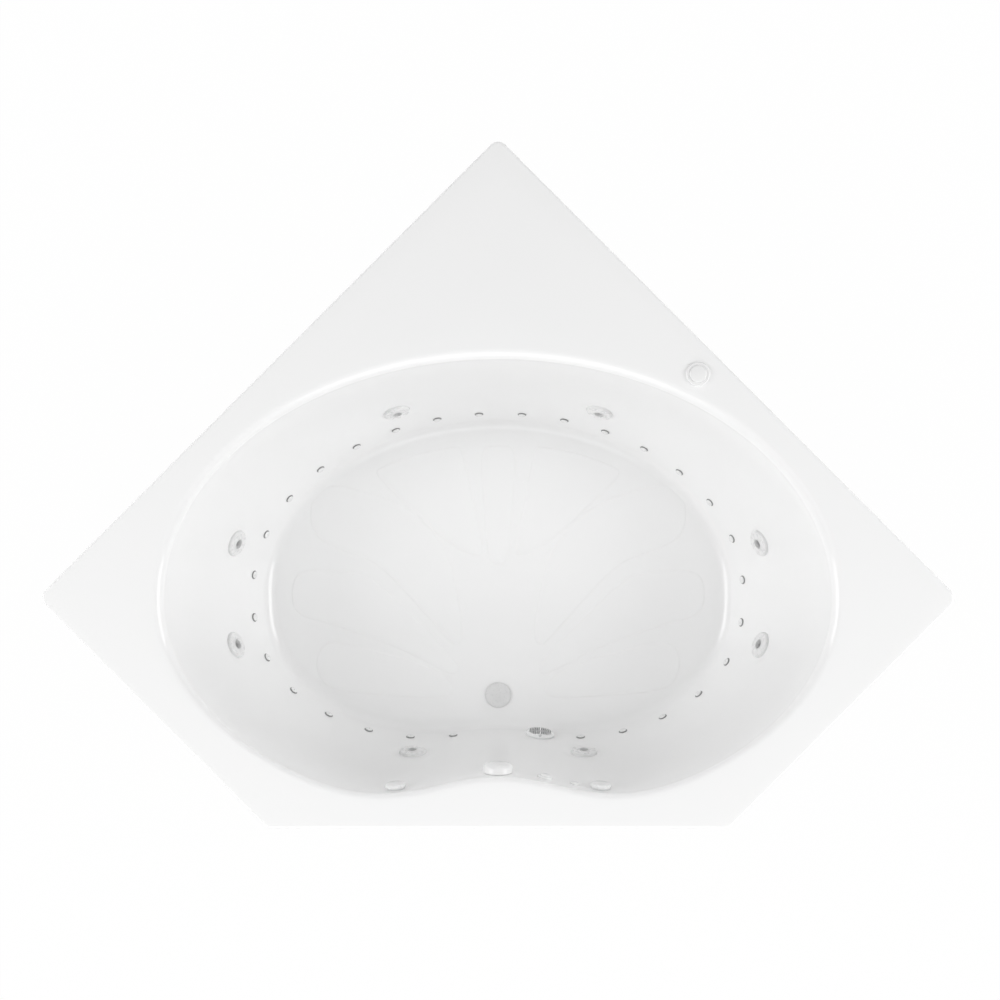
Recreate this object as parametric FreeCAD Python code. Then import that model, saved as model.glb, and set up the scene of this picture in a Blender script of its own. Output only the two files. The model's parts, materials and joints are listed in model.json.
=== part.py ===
import FreeCAD, Part
import math
import os

# A drop-in corner bathtub with water jets and air injectors, millimetres.
# Z is up from the bathroom floor, Y points at the room corner and X = 0 is the plane of symmetry.

V = FreeCAD.Vector

# Deck
WALL_SIDE = 1524.0        # each of the two sides against a wall
RETURN_SIDE = 762.0       # each of the two short sides
DECK_CORNER_R = 25.0
DECK_EDGE_R = 7.0
LIP_DROP = 40.0           # deck top to the bottom of the turned-down lip
SHELL = 6.0               # acrylic and its backing

# Basin outlines: an oval whose front is drawn in at the middle
BASIN_DEPTH = 480.0
RIM_HALF = 787.0
RIM_BACK = 566.0
RIM_FRONT = 510.0
RIM_DIP = 95.0
RIM_DIP_WIDTH = 230.0
RIM_MARGIN = 25.0         # front deck edge to the rim's oval, without its dip
RIM_ROLL = 26.0
FLOOR_HALF = 586.0
FLOOR_BACK = 428.0
FLOOR_FRONT = 364.0
FLOOR_DIP = 22.0
FLOOR_DIP_WIDTH = 150.0
FLOOR_SQUARENESS = 2.5    # 2 is an ellipse
FLOOR_FILLET = 38.0
WALL_BOW = 1.3            # 1 is a straight wall, more is steeper towards the rim
RING_POINTS = 40          # points on each outline, a multiple of four
WALL_RINGS = 5            # outlines from the floor to the rim
RING_JOIN = 0.15          # where the lengths of an outline join, as a share of a turn from the back

# Base
FOOT_HEIGHT = 80.0        # bathroom floor to the board
BOARD = 18.0
BOARD_INSET = 35.0
BOARD_BACK_CUT = 440.0    # sawn off the board's back corner
FOOT_INSET = 95.0
FOOT_PAD_R = 24.0
FOOT_PAD = 10.0
FOOT_STUD_R = 6.0
FOOT_NUT = 10.0

# Clearances
SLIP = 0.2                # between fixed pieces that slide together
TURN_GAP = 0.3            # between pieces that move past each other
RUN_GAP = 0.05            # shaft in its bearing
BOND_GAP = 0.4            # bond line of the air channel

# Flats moulded in the wall for the fittings
PAD_MARGIN = 4.0
PAD_EXTRA = 2.0
SPOT_MARGIN = 1.0

# Water jets: angle round the basin from the right, anticlockwise from above
JET_ANGLES = {
    "front_left": 254.0,
    "left_front": 195.0,
    "left_back": 165.0,
    "back_left": 112.0,
    "back_right": 68.0,
    "right_back": 15.0,
    "right_front": 345.0,
    "front_right": 286.0,
}
JET_HEIGHT = 168.0
JET_HOLE_R = 24.0
JET_WALL = 4.0
JET_FLANGE_R = 31.0
JET_FLANGE = 3.0
JET_BARREL = 64.0
JET_FACE_R = 33.0
JET_FACE = 6.0
JET_SLEEVE = 14.0
BALL_R = 14.0
BALL_OUT = 1.0            # ball centre in front of the wall
NOZZLE_R = 5.5
GASKET = 2.0
NUT = 12.0
NUT_RIM = 10.0
FLANGE_GAP = 0.1

# Water pipes and air hoses
PIPE_R = 17.0
PIPE_BORE = 13.0
PIPE_BEND = 90.0
TEE_DEPTH = 43.0
TEE_REACH = 46.0
AIR_HOSE_R = 8.0
AIR_HOSE_BORE = 5.0
AIR_HOSE_BEND = 60.0
AIR_PORT_UP = 31.0
AIR_PORT_DEPTH = 37.0
AIR_PORT_REACH = 34.0
CORNER_SHARE = 0.6        # how far a run goes towards where the two runs would meet

# Suction
SUCTION_ANGLE = 276.9
SUCTION_HEIGHT = 62.0
SUCTION_R = 36.0
SUCTION_HOLE_R = 26.0
SUCTION_PIPE_R = 24.0
SUCTION_BORE = 19.0
SUCTION_TEE_DEPTH = 84.0
SUCTION_REACH = 62.0
SUCTION_SIDE_ANGLE = 315.0  # where the pipe rounds the basin
COVER_RISE = 12.0
COVER_SKIN = 3.0
COVER_SLOT = 3.6
COVER_RIB = 4.0
COVER_SLOTS = 3           # each side of the middle rib
COVER_SLOT_MARGIN = 1.0   # slot ends to the edge of the dome's hollow

# Air injectors and their channel
INJECTOR_STATIONS = 31
INJECTORS_LEFT_OUT = 2
INJECTOR_START = -7.0     # first station from the front middle, along the wall
INJECTOR_HEIGHT = 64.0
INJECTOR_R = 11.0
INJECTOR_FLANGE = 1.2
INJECTOR_DOME_R = 7.0
INJECTOR_STEM_R = 4.0
INJECTOR_CAP = 3.0
INJECTOR_STEM = 16.0
INJECTOR_BORE = 1.5
CHANNEL_LOW = 36.0
CHANNEL_HIGH = 94.0
CHANNEL_REACH = 32.0
CHANNEL_WALL = 3.0
CHANNEL_GAP_LEFT = -80.0
CHANNEL_GAP_RIGHT = 178.0
AIR_INLET_R = 24.0
AIR_INLET_BORE = 20.5
AIR_INLET_REACH = 20.0

# Drain and overflow
DRAIN_FROM_WALL = 76.0
DRAIN_R = 33.0
DRAIN_HOLE_R = 23.0
DRAIN_FLANGE = 3.0
DRAIN_BARREL = 26.0       # below the shell
DRAIN_BORE = 19.0
DRAIN_GASKET = 3.0
DRAIN_GASKET_R = 36.0
SHOE_R = 29.0
SHOE_DROP = 64.0          # shell underside to the bottom of the shoe
SHOE_INLET_DROP = 46.0
SHOE_INLET_REACH = 48.0
TUBE_R = 19.05
TUBE_BORE = 17.5
TUBE_BEND = 60.0
TAILPIECE = 42.0
TAIL_SOCKET = 12.0
TAIL_FREE = 25.0          # left at full size below the shoe's inlet, for the trap's nut
TAIL_STEP = 0.8           # the tailpiece is turned down above that
STOPPER_R = 30.0
STOPPER_RISE = 5.0
STOPPER_STEM_R = 5.0
STOPPER_STEM = 34.0
OVERFLOW_BELOW_DECK = 60.0
OVERFLOW_HOLE_R = 25.0
OVERFLOW_FLANGE_R = 34.0
OVERFLOW_FLANGE = 6.0
OVERFLOW_WALL = 3.0
OVERFLOW_DROP = 70.0
DIAL_R = 34.5
DIAL_RISE = 23.0
DIAL_SKIRT = 0.8          # wall to the dial's edge
DIAL_PORT = 8.0           # water way in the lower edge
DIAL_PORTS = 5
DIAL_PORT_STEP = 30.0
DIAL_WALL = 4.0
DIAL_AXLE_R = 5.0
DIAL_HUB_R = 12.0
DIAL_BEARING = 14.0
TUBE_SOCKET = 16.0
TUBE_SOCKET_WALL = 3.0
CABLE_R = 3.5
CABLE_BEND = 50.0

# Air controls, buttons and level sensor
AIR_CONTROL_ANGLES = {"left": 252.0, "right": 288.0}
AIR_CONTROL_BELOW_DECK = 58.0
AIR_CONTROL_HOLE_R = 14.0
AIR_CONTROL_FLANGE_R = 22.0
AIR_CONTROL_BARREL = 40.0
AIR_CONTROL_BARB = 34.0
KNOB_R = 25.0
KNOB_RISE = 9.0
KNOB_SCALLOP_R = 8.0
KNOB_SCALLOPS = 6
BUTTON_HOLE_R = 12.0
BUTTON_BARREL = 32.0
BUTTON_RISE = 6.0
BUTTON_STEM_R = 4.0
BUTTON_PROUD = 3.5
BUTTON_TRAVEL = 4.0
BUTTON_FLOOR = 1.2
BUTTON_TUBE_R = 3.0
BUTTON_TUBE_BEND = 45.0
BUTTON_NIPPLE = 8.0
WALL_BUTTON_ANGLE = 278.0
WALL_BUTTON_BELOW_DECK = 60.0
WALL_BUTTON_FLANGE_R = 18.0
WALL_BUTTON_CAP_R = 13.0
DECK_BUTTON_X = 467.0
DECK_BUTTON_FROM_APEX = 554.0
DECK_BUTTON_FLANGE_R = 28.5
DECK_BUTTON_CAP_R = 20.5
SENSOR_ANGLE = 283.3
SENSOR_BELOW_DECK = 62.0
SENSOR_HOLE_R = 8.0
SENSOR_R = 11.0
SENSOR_BARREL = 26.0

# Pump, in the right-hand corner, its axis along Y with the inlet at the front
FEED_PIPE = 8.0           # from the pump's outlet to the pipe that it feeds
FEED_R = 14.0
FEED_BORE = 11.0
PUMP_PLATE = 10.0
PUMP_PLATE_X = 120.0
PUMP_PLATE_Y = 120.0
PUMP_LIFT = 3.0
VOLUTE_R = 85.0
VOLUTE_WALL = 7.0
VOLUTE_LENGTH = 58.0
VOLUTE_INLET = 32.0
OUTLET_REACH = 78.0
MOTOR_R = 62.0
MOTOR_LENGTH = 118.0
MOTOR_FIN = 5.0
MOTOR_FINS = 28
ADAPTER = 20.0
END_BELL = 22.0
END_BELL_WALL = 4.0
END_BELL_SLOTS = 12
SHAFT_R = 8.0
SHAFT_TAIL = 12.0
IMPELLER_R = 60.0
IMPELLER_HUB_R = 14.0
IMPELLER_DISC = 4.0
IMPELLER_VANE = 20.0
IMPELLER_VANES = 6
VANE_SWEEP = 35.0         # vanes of the impeller and the fan, from straight out
IMPELLER_FLOAT = 8.0
SADDLE_X = 70.0
SADDLE_Y = 80.0
FEED_SHARE = 0.8          # where the pump feeds the pipe beside it, along its middle run

# Blower, in the left-hand corner, its axis upright
BLOWER_R = 80.0
BLOWER_WALL = 4.0
BLOWER_BODY = 96.0
BLOWER_LEG = 14.0
BLOWER_LEG_R = 9.0
BLOWER_LEGS = 3
BLOWER_OUTLET_REACH = 110.0
BLOWER_HOOD = 90.0
BLOWER_MOTOR_R = 34.0
BLOWER_VENTS = 16
BLOWER_SHAFT_R = 5.0
BLOWER_BEARING = 50.0
FAN_R = 66.0
FAN_HUB_R = 16.0
FAN_DISC = 3.0
FAN_BLADE = 40.0
FAN_BLADES = 12
FAN_FLOAT = 10.0
VALVE_LENGTH = 60.0
VALVE_R = 34.0

# Control box, along the back right edge of the board
CONTROL_LONG = 130.0
CONTROL_WIDE = 80.0
CONTROL_TALL = 95.0
CONTROL_ALONG = 250.0     # from the tub's middle, along the wall
CONTROL_EDGE_R = 8.0
CONTROL_EDGE_GAP = 8.0    # box to the edge of the board
CONTROL_EAR = 18.0
CONTROL_EAR_WIDE = 26.0
CONTROL_EAR_THICK = 4.0

# Fasteners
SCREW_R = 3.0
SCREW_HEAD_R = 6.5
SCREW_HEAD = 4.5
SCREW_LENGTH = 14.0
COVER_SCREW_R = 1.5
COVER_SCREW_HEAD_R = 3.0
COVER_SCREW_HEAD = 1.6
COVER_SCREW_IN = 2.0

# Places that follow from the sizes above
board_top = FOOT_HEIGHT + BOARD
floor_z = board_top + SHELL
deck_z = floor_z + BASIN_DEPTH
leg = WALL_SIDE * math.sqrt(0.5)
short_leg = RETURN_SIDE * math.sqrt(0.5)
apex_y = (leg + short_leg + DECK_CORNER_R * (math.sqrt(2.0) - 1.0)) / 2.0
corner_y = apex_y - leg
front_y = corner_y - short_leg
basin_y = front_y + RIM_MARGIN + RIM_FRONT
pad_back = SHELL + PAD_EXTRA
BEYOND = 30.0             # how far cutting tools run past what they cut


def oval(turn, half, back, front, squareness, dip, dip_width):
    """Point of a basin outline at an angle: an elliptic back, and a front drawn in at the middle."""
    across = math.cos(turn)
    along = math.sin(turn)
    if along >= 0:
        return V(half * across, basin_y + back * along, 0)
    power = 2.0 / squareness
    x = half * math.copysign(abs(across) ** power, across)
    y = dip * math.exp(-((x / dip_width) ** 2)) - front * abs(along) ** power
    return V(x, basin_y + y, 0)


def wall_point(turn, height, grow=0.0):
    """Point on the wet side of the wall at a height over the basin floor, or outside it by grow."""
    share = 1.0 - (1.0 - height / BASIN_DEPTH) ** WALL_BOW

    def at(angle):
        low = oval(angle, FLOOR_HALF, FLOOR_BACK, FLOOR_FRONT, FLOOR_SQUARENESS, FLOOR_DIP, FLOOR_DIP_WIDTH)
        high = oval(angle, RIM_HALF, RIM_BACK, RIM_FRONT, 2.0, RIM_DIP, RIM_DIP_WIDTH)
        return low + (high - low) * share

    step = 0.0005
    tangent = at(turn + step) - at(turn - step)
    tangent.normalize()
    point = at(turn) + V(tangent.y, -tangent.x, 0) * grow
    return V(point.x, point.y, floor_z + height)


def wall_ring(height, grow):
    """Closed smooth curve round the basin from the middle of the back, in three lengths: two back, one front."""
    turns = [math.pi / 2 + 2 * math.pi * i / RING_POINTS for i in range(RING_POINTS)]
    curve = Part.BSplineCurve()
    curve.interpolate(
        Points=[wall_point(turn, height, grow) for turn in turns],
        PeriodicFlag=True,
        Parameters=[i / RING_POINTS for i in range(RING_POINTS + 1)],
    )
    joins = [0, RING_JOIN, 1 - RING_JOIN, 1]
    return Part.Wire([curve.toShape(start, end) for start, end in zip(joins, joins[1:])])


def wall_seat(angle, height):
    """Frame on the wall's wet side: Z points into the bath, Y up the wall and X level, clockwise from above."""
    turn = math.radians(angle)
    step = 0.001
    level = wall_point(turn - step, height) - wall_point(turn + step, height)
    up = wall_point(turn, height + 1.0) - wall_point(turn, height - 1.0)
    level.normalize()
    inward = level.cross(up)
    inward.normalize()
    return frame(wall_point(turn, height), level, inward)


def frame(origin, x_axis, z_axis):
    y_axis = z_axis.cross(x_axis)
    return FreeCAD.Placement(FreeCAD.Matrix(
        x_axis.x, y_axis.x, z_axis.x, origin.x,
        x_axis.y, y_axis.y, z_axis.y, origin.y,
        x_axis.z, y_axis.z, z_axis.z, origin.z,
        0, 0, 0, 1))


def upright(x, y, z):
    return FreeCAD.Placement(V(x, y, z), FreeCAD.Rotation())


def placed(shape, seat):
    copy = shape.copy()
    copy.Placement = seat.multiply(copy.Placement)
    return copy


def turned(profile):
    """Solid of revolution about Z of an outline of (radius, height) points."""
    points = [V(radius, 0, height) for radius, height in profile]
    return Part.Face(Part.makePolygon(points + points[:1])).revolve(V(), V(0, 0, 1), 360)


def rod(radius, low, high, x=0.0, y=0.0):
    return Part.makeCylinder(radius, high - low, V(x, y, low))


def ring(inner, outer, low, high):
    return rod(outer, low, high).cut(rod(inner, low, high))


def cross_rod(radius, start, end, y=0.0, z=0.0):
    """Cylinder along X between two places."""
    return Part.makeCylinder(radius, abs(end - start), V(min(start, end), y, z), V(1, 0, 0))


def block(x_size, y_size, low, high, x=0.0, y=0.0):
    """Box centred on x and y."""
    return Part.makeBox(x_size, y_size, high - low, V(x - x_size / 2, y - y_size / 2, low))


def around(shape, count, start=0.0):
    """Copies of a shape in a circle about Z."""
    copies = []
    for i in range(count):
        copy = shape.copy()
        copy.rotate(V(), V(0, 0, 1), start + 360.0 * i / count)
        copies.append(copy)
    return copies


def group(shapes):
    return Part.makeCompound(shapes)


def path_through(points, bend):
    """Wire of straight runs with a tangent arc at each inner point."""
    edges = []
    start = points[0]
    for before, corner, after in zip(points, points[1:], points[2:]):
        arrive = corner - before
        leave = after - corner
        shortest = min(arrive.Length, leave.Length)
        half_turn = arrive.getAngle(leave) / 2.0
        arrive.normalize()
        leave.normalize()
        reach = min(bend * math.tan(half_turn), 0.45 * shortest)
        radius = reach / math.tan(half_turn)
        inward = leave - arrive
        inward.normalize()
        first = corner - arrive * reach
        middle = corner + inward * (radius / math.cos(half_turn) - radius)
        last = corner + leave * reach
        edges.append(Part.LineSegment(start, first).toShape())
        edges.append(Part.Arc(first, middle, last).toShape())
        start = last
    edges.append(Part.LineSegment(start, points[-1]).toShape())
    return Part.Wire(edges)


def rod_along(points, radius, bend):
    circle = Part.Wire([Part.makeCircle(radius, points[0], points[1] - points[0])])
    return path_through(points, bend).makePipeShell([circle], True, False)


def tube_along(points, radius, bore, bend):
    return rod_along(points, radius, bend).cut(rod_along(points, bore, bend))


def deck_points(inset):
    """Corners of the five-sided deck, drawn in by an inset, clockwise from the room corner."""
    slant = inset * math.sqrt(2.0)
    side_x = leg - slant
    front_x = leg - short_leg - slant + inset
    return [
        V(0, apex_y - slant, 0),
        V(side_x, corner_y, 0),
        V(front_x, front_y + inset, 0),
        V(-front_x, front_y + inset, 0),
        V(-side_x, corner_y, 0),
    ]


def deck_prism(inset, low, high):
    corners = deck_points(inset)
    face = Part.Face(Part.makePolygon(corners + corners[:1]))
    face.translate(V(0, 0, low))
    prism = face.extrude(V(0, 0, high - low))
    uprights = [edge for edge in prism.Edges if edge.BoundBox.ZLength > (high - low) / 2]
    return prism.makeFillet(DECK_CORNER_R - min(inset, DECK_CORNER_R / 2), uprights)


def bath_space(grow, floor_r, rim_r):
    """All that lies above one skin of the shell: the basin and the air over the deck."""
    top = deck_z - grow
    rings = [wall_ring(-grow + (BASIN_DEPTH + grow) * i / (WALL_RINGS - 1), grow) for i in range(WALL_RINGS)]
    basin = Part.makeLoft(rings, True, False)
    air = block(2 * leg + BEYOND, 2 * apex_y + BEYOND, top, deck_z + BEYOND, y=(apex_y + front_y) / 2)
    space = basin.fuse(air)
    floor_edges = [edge for edge in space.Edges if edge.BoundBox.ZMax < floor_z - grow + 1.0]
    space = space.makeFillet(floor_r, floor_edges)
    rim_edges = []
    for edge in space.Edges:
        box = edge.BoundBox
        level = box.ZMin > top - 1.0 and box.ZMax < top + 1.0
        if level and max(abs(box.XMin), abs(box.XMax)) < leg:
            rim_edges.append(edge)
    return space.makeFillet(rim_r, rim_edges)


def wall_flat(seat, flange_r, hole_r):
    """Pad, spot face and hole of one fitting: the first is added to the shell and the others cut it."""
    pad = placed(rod(flange_r + PAD_MARGIN, -pad_back, 0), seat)
    spot = placed(rod(flange_r + SPOT_MARGIN, 0, BEYOND), seat)
    hole = placed(rod(hole_r, -BEYOND, BEYOND), seat)
    return pad, [spot, hole]


jet_seats = {name: wall_seat(angle, JET_HEIGHT) for name, angle in JET_ANGLES.items()}
suction_seat = wall_seat(SUCTION_ANGLE, SUCTION_HEIGHT)
overflow_seat = wall_seat(270.0, BASIN_DEPTH - OVERFLOW_BELOW_DECK)
air_control_seats = {
    side: wall_seat(angle, BASIN_DEPTH - AIR_CONTROL_BELOW_DECK) for side, angle in AIR_CONTROL_ANGLES.items()
}
wall_button_seat = wall_seat(WALL_BUTTON_ANGLE, BASIN_DEPTH - WALL_BUTTON_BELOW_DECK)
deck_button_seat = upright(DECK_BUTTON_X, apex_y - DECK_BUTTON_FROM_APEX, deck_z)
sensor_seat = wall_seat(SENSOR_ANGLE, BASIN_DEPTH - SENSOR_BELOW_DECK)
drain_seat = upright(0, wall_point(1.5 * math.pi, 0).y + DRAIN_FROM_WALL, floor_z)


def injector_seats():
    """Seats at equal steps round the wall from the front middle, past the suction fitting."""
    fine = 2000
    points = [wall_point(2 * math.pi * (i / fine - 0.25), INJECTOR_HEIGHT) for i in range(fine + 1)]
    lengths = [0.0]
    for before, after in zip(points, points[1:]):
        lengths.append(lengths[-1] + (after - before).Length)
    seats = []
    index = 0
    for station in range(INJECTORS_LEFT_OUT, INJECTOR_STATIONS):
        wanted = lengths[-1] * station / INJECTOR_STATIONS + INJECTOR_START
        while lengths[index] < wanted:
            index += 1
        seats.append(wall_seat(360.0 * index / fine - 90.0, INJECTOR_HEIGHT))
    return seats


def tub_shell():
    outer = bath_space(SHELL, FLOOR_FILLET + SHELL, max(RIM_ROLL - SHELL, 1.0))
    inner = bath_space(0.0, FLOOR_FILLET, RIM_ROLL)
    plug = deck_prism(0.0, 0.0, deck_z)
    lip = deck_prism(0.0, deck_z - LIP_DROP, deck_z).cut(deck_prism(SHELL, deck_z - LIP_DROP, deck_z - SHELL))
    skin = outer.common(plug).fuse(lip)
    skin = skin.removeSplitter()
    top_edges = [edge for edge in skin.Edges if edge.BoundBox.ZMin > deck_z - 0.1]
    shell = skin.makeFillet(DECK_EDGE_R, top_edges).cut(inner)
    flats = [wall_flat(seat, JET_FLANGE_R, JET_HOLE_R) for seat in jet_seats.values()]
    flats += [wall_flat(seat, AIR_CONTROL_FLANGE_R, AIR_CONTROL_HOLE_R) for seat in air_control_seats.values()]
    flats.append(wall_flat(suction_seat, SUCTION_R, SUCTION_HOLE_R))
    flats.append(wall_flat(overflow_seat, DIAL_R, OVERFLOW_HOLE_R))
    flats.append(wall_flat(wall_button_seat, WALL_BUTTON_FLANGE_R, BUTTON_HOLE_R))
    flats.append(wall_flat(sensor_seat, SENSOR_R, SENSOR_HOLE_R))
    shell = shell.fuse([pad for pad, cuts in flats])
    tools = [tool for pad, cuts in flats for tool in cuts]
    tools += [placed(rod(INJECTOR_STEM_R + SLIP, -BEYOND, BEYOND), seat) for seat in injector_seats()]
    tools.append(placed(rod(DRAIN_HOLE_R, -BEYOND, BEYOND), drain_seat))
    tools.append(placed(rod(BUTTON_HOLE_R, -BEYOND, BEYOND), deck_button_seat))
    return shell.cut(tools)


def lock_nut(bore_r, high):
    """Eight-sided nut behind the wall, its front face at a height."""
    outer_r = (bore_r + NUT_RIM) / math.cos(math.pi / 8)
    corners = [V(outer_r, 0, high - NUT)]
    corners += [FreeCAD.Rotation(V(0, 0, 1), 45.0 * i).multVec(corners[0]) for i in range(1, 8)]
    prism = Part.Face(Part.makePolygon(corners + corners[:1])).extrude(V(0, 0, NUT))
    return prism.cut(rod(bore_r, high - NUT, high))


def jet_body(water_sides):
    """Barrel through the wall with its flange in the bath, its water tee and its air tee."""
    barrel_r = JET_HOLE_R - SLIP
    solids = [rod(barrel_r, -JET_BARREL, JET_FLANGE)]
    bores = [rod(barrel_r - JET_WALL, JET_WALL - JET_BARREL, BEYOND)]
    for side in water_sides:
        solids.append(cross_rod(PIPE_R, 0, side * TEE_REACH, z=-TEE_DEPTH))
        bores.append(cross_rod(PIPE_BORE, 0, side * (TEE_REACH + BEYOND), z=-TEE_DEPTH))
    neck = V(0, 0, -AIR_PORT_DEPTH)
    solids.append(cross_rod(AIR_HOSE_R, -AIR_PORT_REACH, AIR_PORT_REACH, AIR_PORT_UP, -AIR_PORT_DEPTH))
    solids.append(Part.makeCylinder(AIR_HOSE_R, AIR_PORT_UP, neck, V(0, 1, 0)))
    bores.append(cross_rod(AIR_HOSE_BORE, -AIR_PORT_REACH, AIR_PORT_REACH, AIR_PORT_UP, -AIR_PORT_DEPTH))
    bores.append(Part.makeCylinder(AIR_HOSE_BORE, AIR_PORT_UP, neck, V(0, 1, 0)))
    return rod(JET_FLANGE_R, FLANGE_GAP, JET_FLANGE).fuse(solids).cut(bores)


def jet_face():
    """Face ring that turns on the jet's flange, with a ball seat and a sleeve in the barrel."""
    seat_r = BALL_R + TURN_GAP
    sleeve_r = JET_HOLE_R - SLIP - JET_WALL - TURN_GAP
    base = JET_FLANGE + TURN_GAP
    top = base + JET_FACE
    blank = turned([
        (0, -JET_SLEEVE), (sleeve_r, -JET_SLEEVE), (sleeve_r, base), (JET_FACE_R, base),
        (JET_FACE_R, base + 0.4 * JET_FACE), (JET_FACE_R - 0.5 * JET_FACE, top - 0.2 * JET_FACE),
        (sleeve_r + 1.0, top), (seat_r, top - 0.2 * JET_FACE), (0, top - 0.2 * JET_FACE)])
    seat = Part.makeSphere(seat_r, V(0, 0, BALL_OUT))
    return blank.cut([seat, rod(seat_r, -JET_SLEEVE, BALL_OUT)])


def jet_nozzle():
    """Ball with a flat front and a bore that narrows to the nozzle."""
    front = BALL_OUT + 0.8 * BALL_R
    back = BALL_OUT - 0.65 * BALL_R
    ball = Part.makeSphere(BALL_R, V(0, 0, BALL_OUT)).common(rod(BALL_R, back, front))
    funnel = Part.makeCone(BALL_R - JET_WALL, NOZZLE_R, BALL_OUT - back, V(0, 0, back))
    return ball.cut([funnel, rod(NOZZLE_R, BALL_OUT, front)])


def suction_body():
    barrel_r = SUCTION_HOLE_R - SLIP
    end = -SUCTION_TEE_DEPTH - SUCTION_PIPE_R - JET_WALL
    flange = rod(SUCTION_R, FLANGE_GAP, JET_FLANGE)
    outlet = cross_rod(SUCTION_PIPE_R, -SUCTION_REACH, 0, z=-SUCTION_TEE_DEPTH)
    outlet_bore = cross_rod(SUCTION_BORE, -SUCTION_REACH, 0, z=-SUCTION_TEE_DEPTH)
    screw_holes = [rod(COVER_SCREW_R, 0, BEYOND, y=y) for y in cover_screw_places()]
    body = flange.fuse([rod(barrel_r, end, JET_FLANGE), outlet])
    return body.cut([rod(SUCTION_BORE, end + JET_WALL, BEYOND), outlet_bore] + screw_holes)


def cover_screw_places():
    from_middle = SUCTION_R - COVER_SCREW_HEAD_R - SPOT_MARGIN
    return [-from_middle, from_middle]


def suction_cover():
    """Domed guard with upright slots either side of a middle rib."""
    rim_top = JET_FLANGE + COVER_SKIN
    dome_r = SUCTION_R - 2 * (COVER_SCREW_HEAD_R + SPOT_MARGIN)
    top = JET_FLANGE + COVER_RISE
    dome = turned([
        (0, JET_FLANGE), (SUCTION_R, JET_FLANGE), (SUCTION_R, rim_top), (dome_r, rim_top),
        (dome_r - COVER_SKIN, top - COVER_SKIN), (0.5 * dome_r, top), (0, top)])
    hollow = turned([
        (0, JET_FLANGE), (dome_r - COVER_SKIN, JET_FLANGE), (dome_r - 2 * COVER_SKIN, top - 2 * COVER_SKIN),
        (0.5 * dome_r, top - COVER_SKIN), (0, top - COVER_SKIN)])
    cuts = [hollow]
    slot_reach = dome_r - 2 * COVER_SKIN - COVER_SLOT_MARGIN
    for side in (-1, 1):
        for i in range(COVER_SLOTS):
            x = COVER_RIB / 2 + COVER_SLOT / 2 + i * (COVER_SLOT + COVER_RIB / 2)
            length = 2 * math.sqrt(slot_reach ** 2 - (x + COVER_SLOT / 2) ** 2)
            cuts.append(block(COVER_SLOT, length, JET_FLANGE, top + BEYOND, x=side * x))
    cuts += [rod(COVER_SCREW_R, 0, BEYOND, y=y) for y in cover_screw_places()]
    return dome.cut(cuts)


def cover_screws():
    rim_top = JET_FLANGE + COVER_SKIN
    screws = []
    for y in cover_screw_places():
        stem = rod(COVER_SCREW_R, JET_FLANGE - COVER_SCREW_IN, rim_top, y=y)
        screws.append(stem.fuse(rod(COVER_SCREW_HEAD_R, rim_top, rim_top + COVER_SCREW_HEAD, y=y)))
    return screws


def air_injector():
    """Flanged cap with a small air hole in its dome, on a stem through the wall."""
    flange = TURN_GAP + INJECTOR_FLANGE
    return turned([
        (INJECTOR_BORE, -INJECTOR_STEM), (INJECTOR_STEM_R, -INJECTOR_STEM), (INJECTOR_STEM_R, TURN_GAP),
        (INJECTOR_R, TURN_GAP), (INJECTOR_R, flange), (INJECTOR_DOME_R, flange),
        (INJECTOR_DOME_R, flange + 0.4 * INJECTOR_CAP), (0.75 * INJECTOR_DOME_R, flange + 0.8 * INJECTOR_CAP),
        (0.4 * INJECTOR_DOME_R, flange + INJECTOR_CAP), (INJECTOR_BORE, flange + INJECTOR_CAP)])


channel_middle = (CHANNEL_LOW + CHANNEL_HIGH) / 2.0
channel_side = wall_point(math.pi, channel_middle, SHELL + CHANNEL_REACH)
air_inlet_end = channel_side.x - AIR_INLET_REACH
blower_x = air_inlet_end - VALVE_LENGTH - BLOWER_OUTLET_REACH
blower_seat = upright(blower_x, basin_y, board_top)


def channel_core(grow, low, high):
    return Part.makeLoft([wall_ring(low, grow), wall_ring(high, grow)], True, True)


def channel_break(margin):
    """Space in front of the basin where the channel stops, for the suction and the waste."""
    wide = CHANNEL_GAP_RIGHT - CHANNEL_GAP_LEFT + 2 * margin
    deep = basin_y - front_y
    return block(wide, deep, 0, deck_z, (CHANNEL_GAP_LEFT + CHANNEL_GAP_RIGHT) / 2, front_y + deep / 2)


def air_channel():
    """C-shaped moulding round the foot of the wall, open to the shell, with an inlet at the left."""
    reach = SHELL + CHANNEL_REACH
    hollow = channel_core(reach - CHANNEL_WALL, CHANNEL_LOW + CHANNEL_WALL, CHANNEL_HIGH - CHANNEL_WALL)
    core = channel_core(SHELL + BOND_GAP, CHANNEL_LOW - CHANNEL_WALL, CHANNEL_HIGH + CHANNEL_WALL)
    body = channel_core(reach, CHANNEL_LOW, CHANNEL_HIGH)
    body = body.cut([channel_break(0.0), hollow.cut(channel_break(CHANNEL_WALL))])
    inside = channel_side.x + CHANNEL_REACH / 2
    spigot = cross_rod(AIR_INLET_R, inside, air_inlet_end, channel_side.y, channel_side.z)
    bore = cross_rod(AIR_INLET_BORE, inside, air_inlet_end, channel_side.y, channel_side.z)
    return body.fuse(spigot.cut(hollow)).cut([bore, core])


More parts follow.
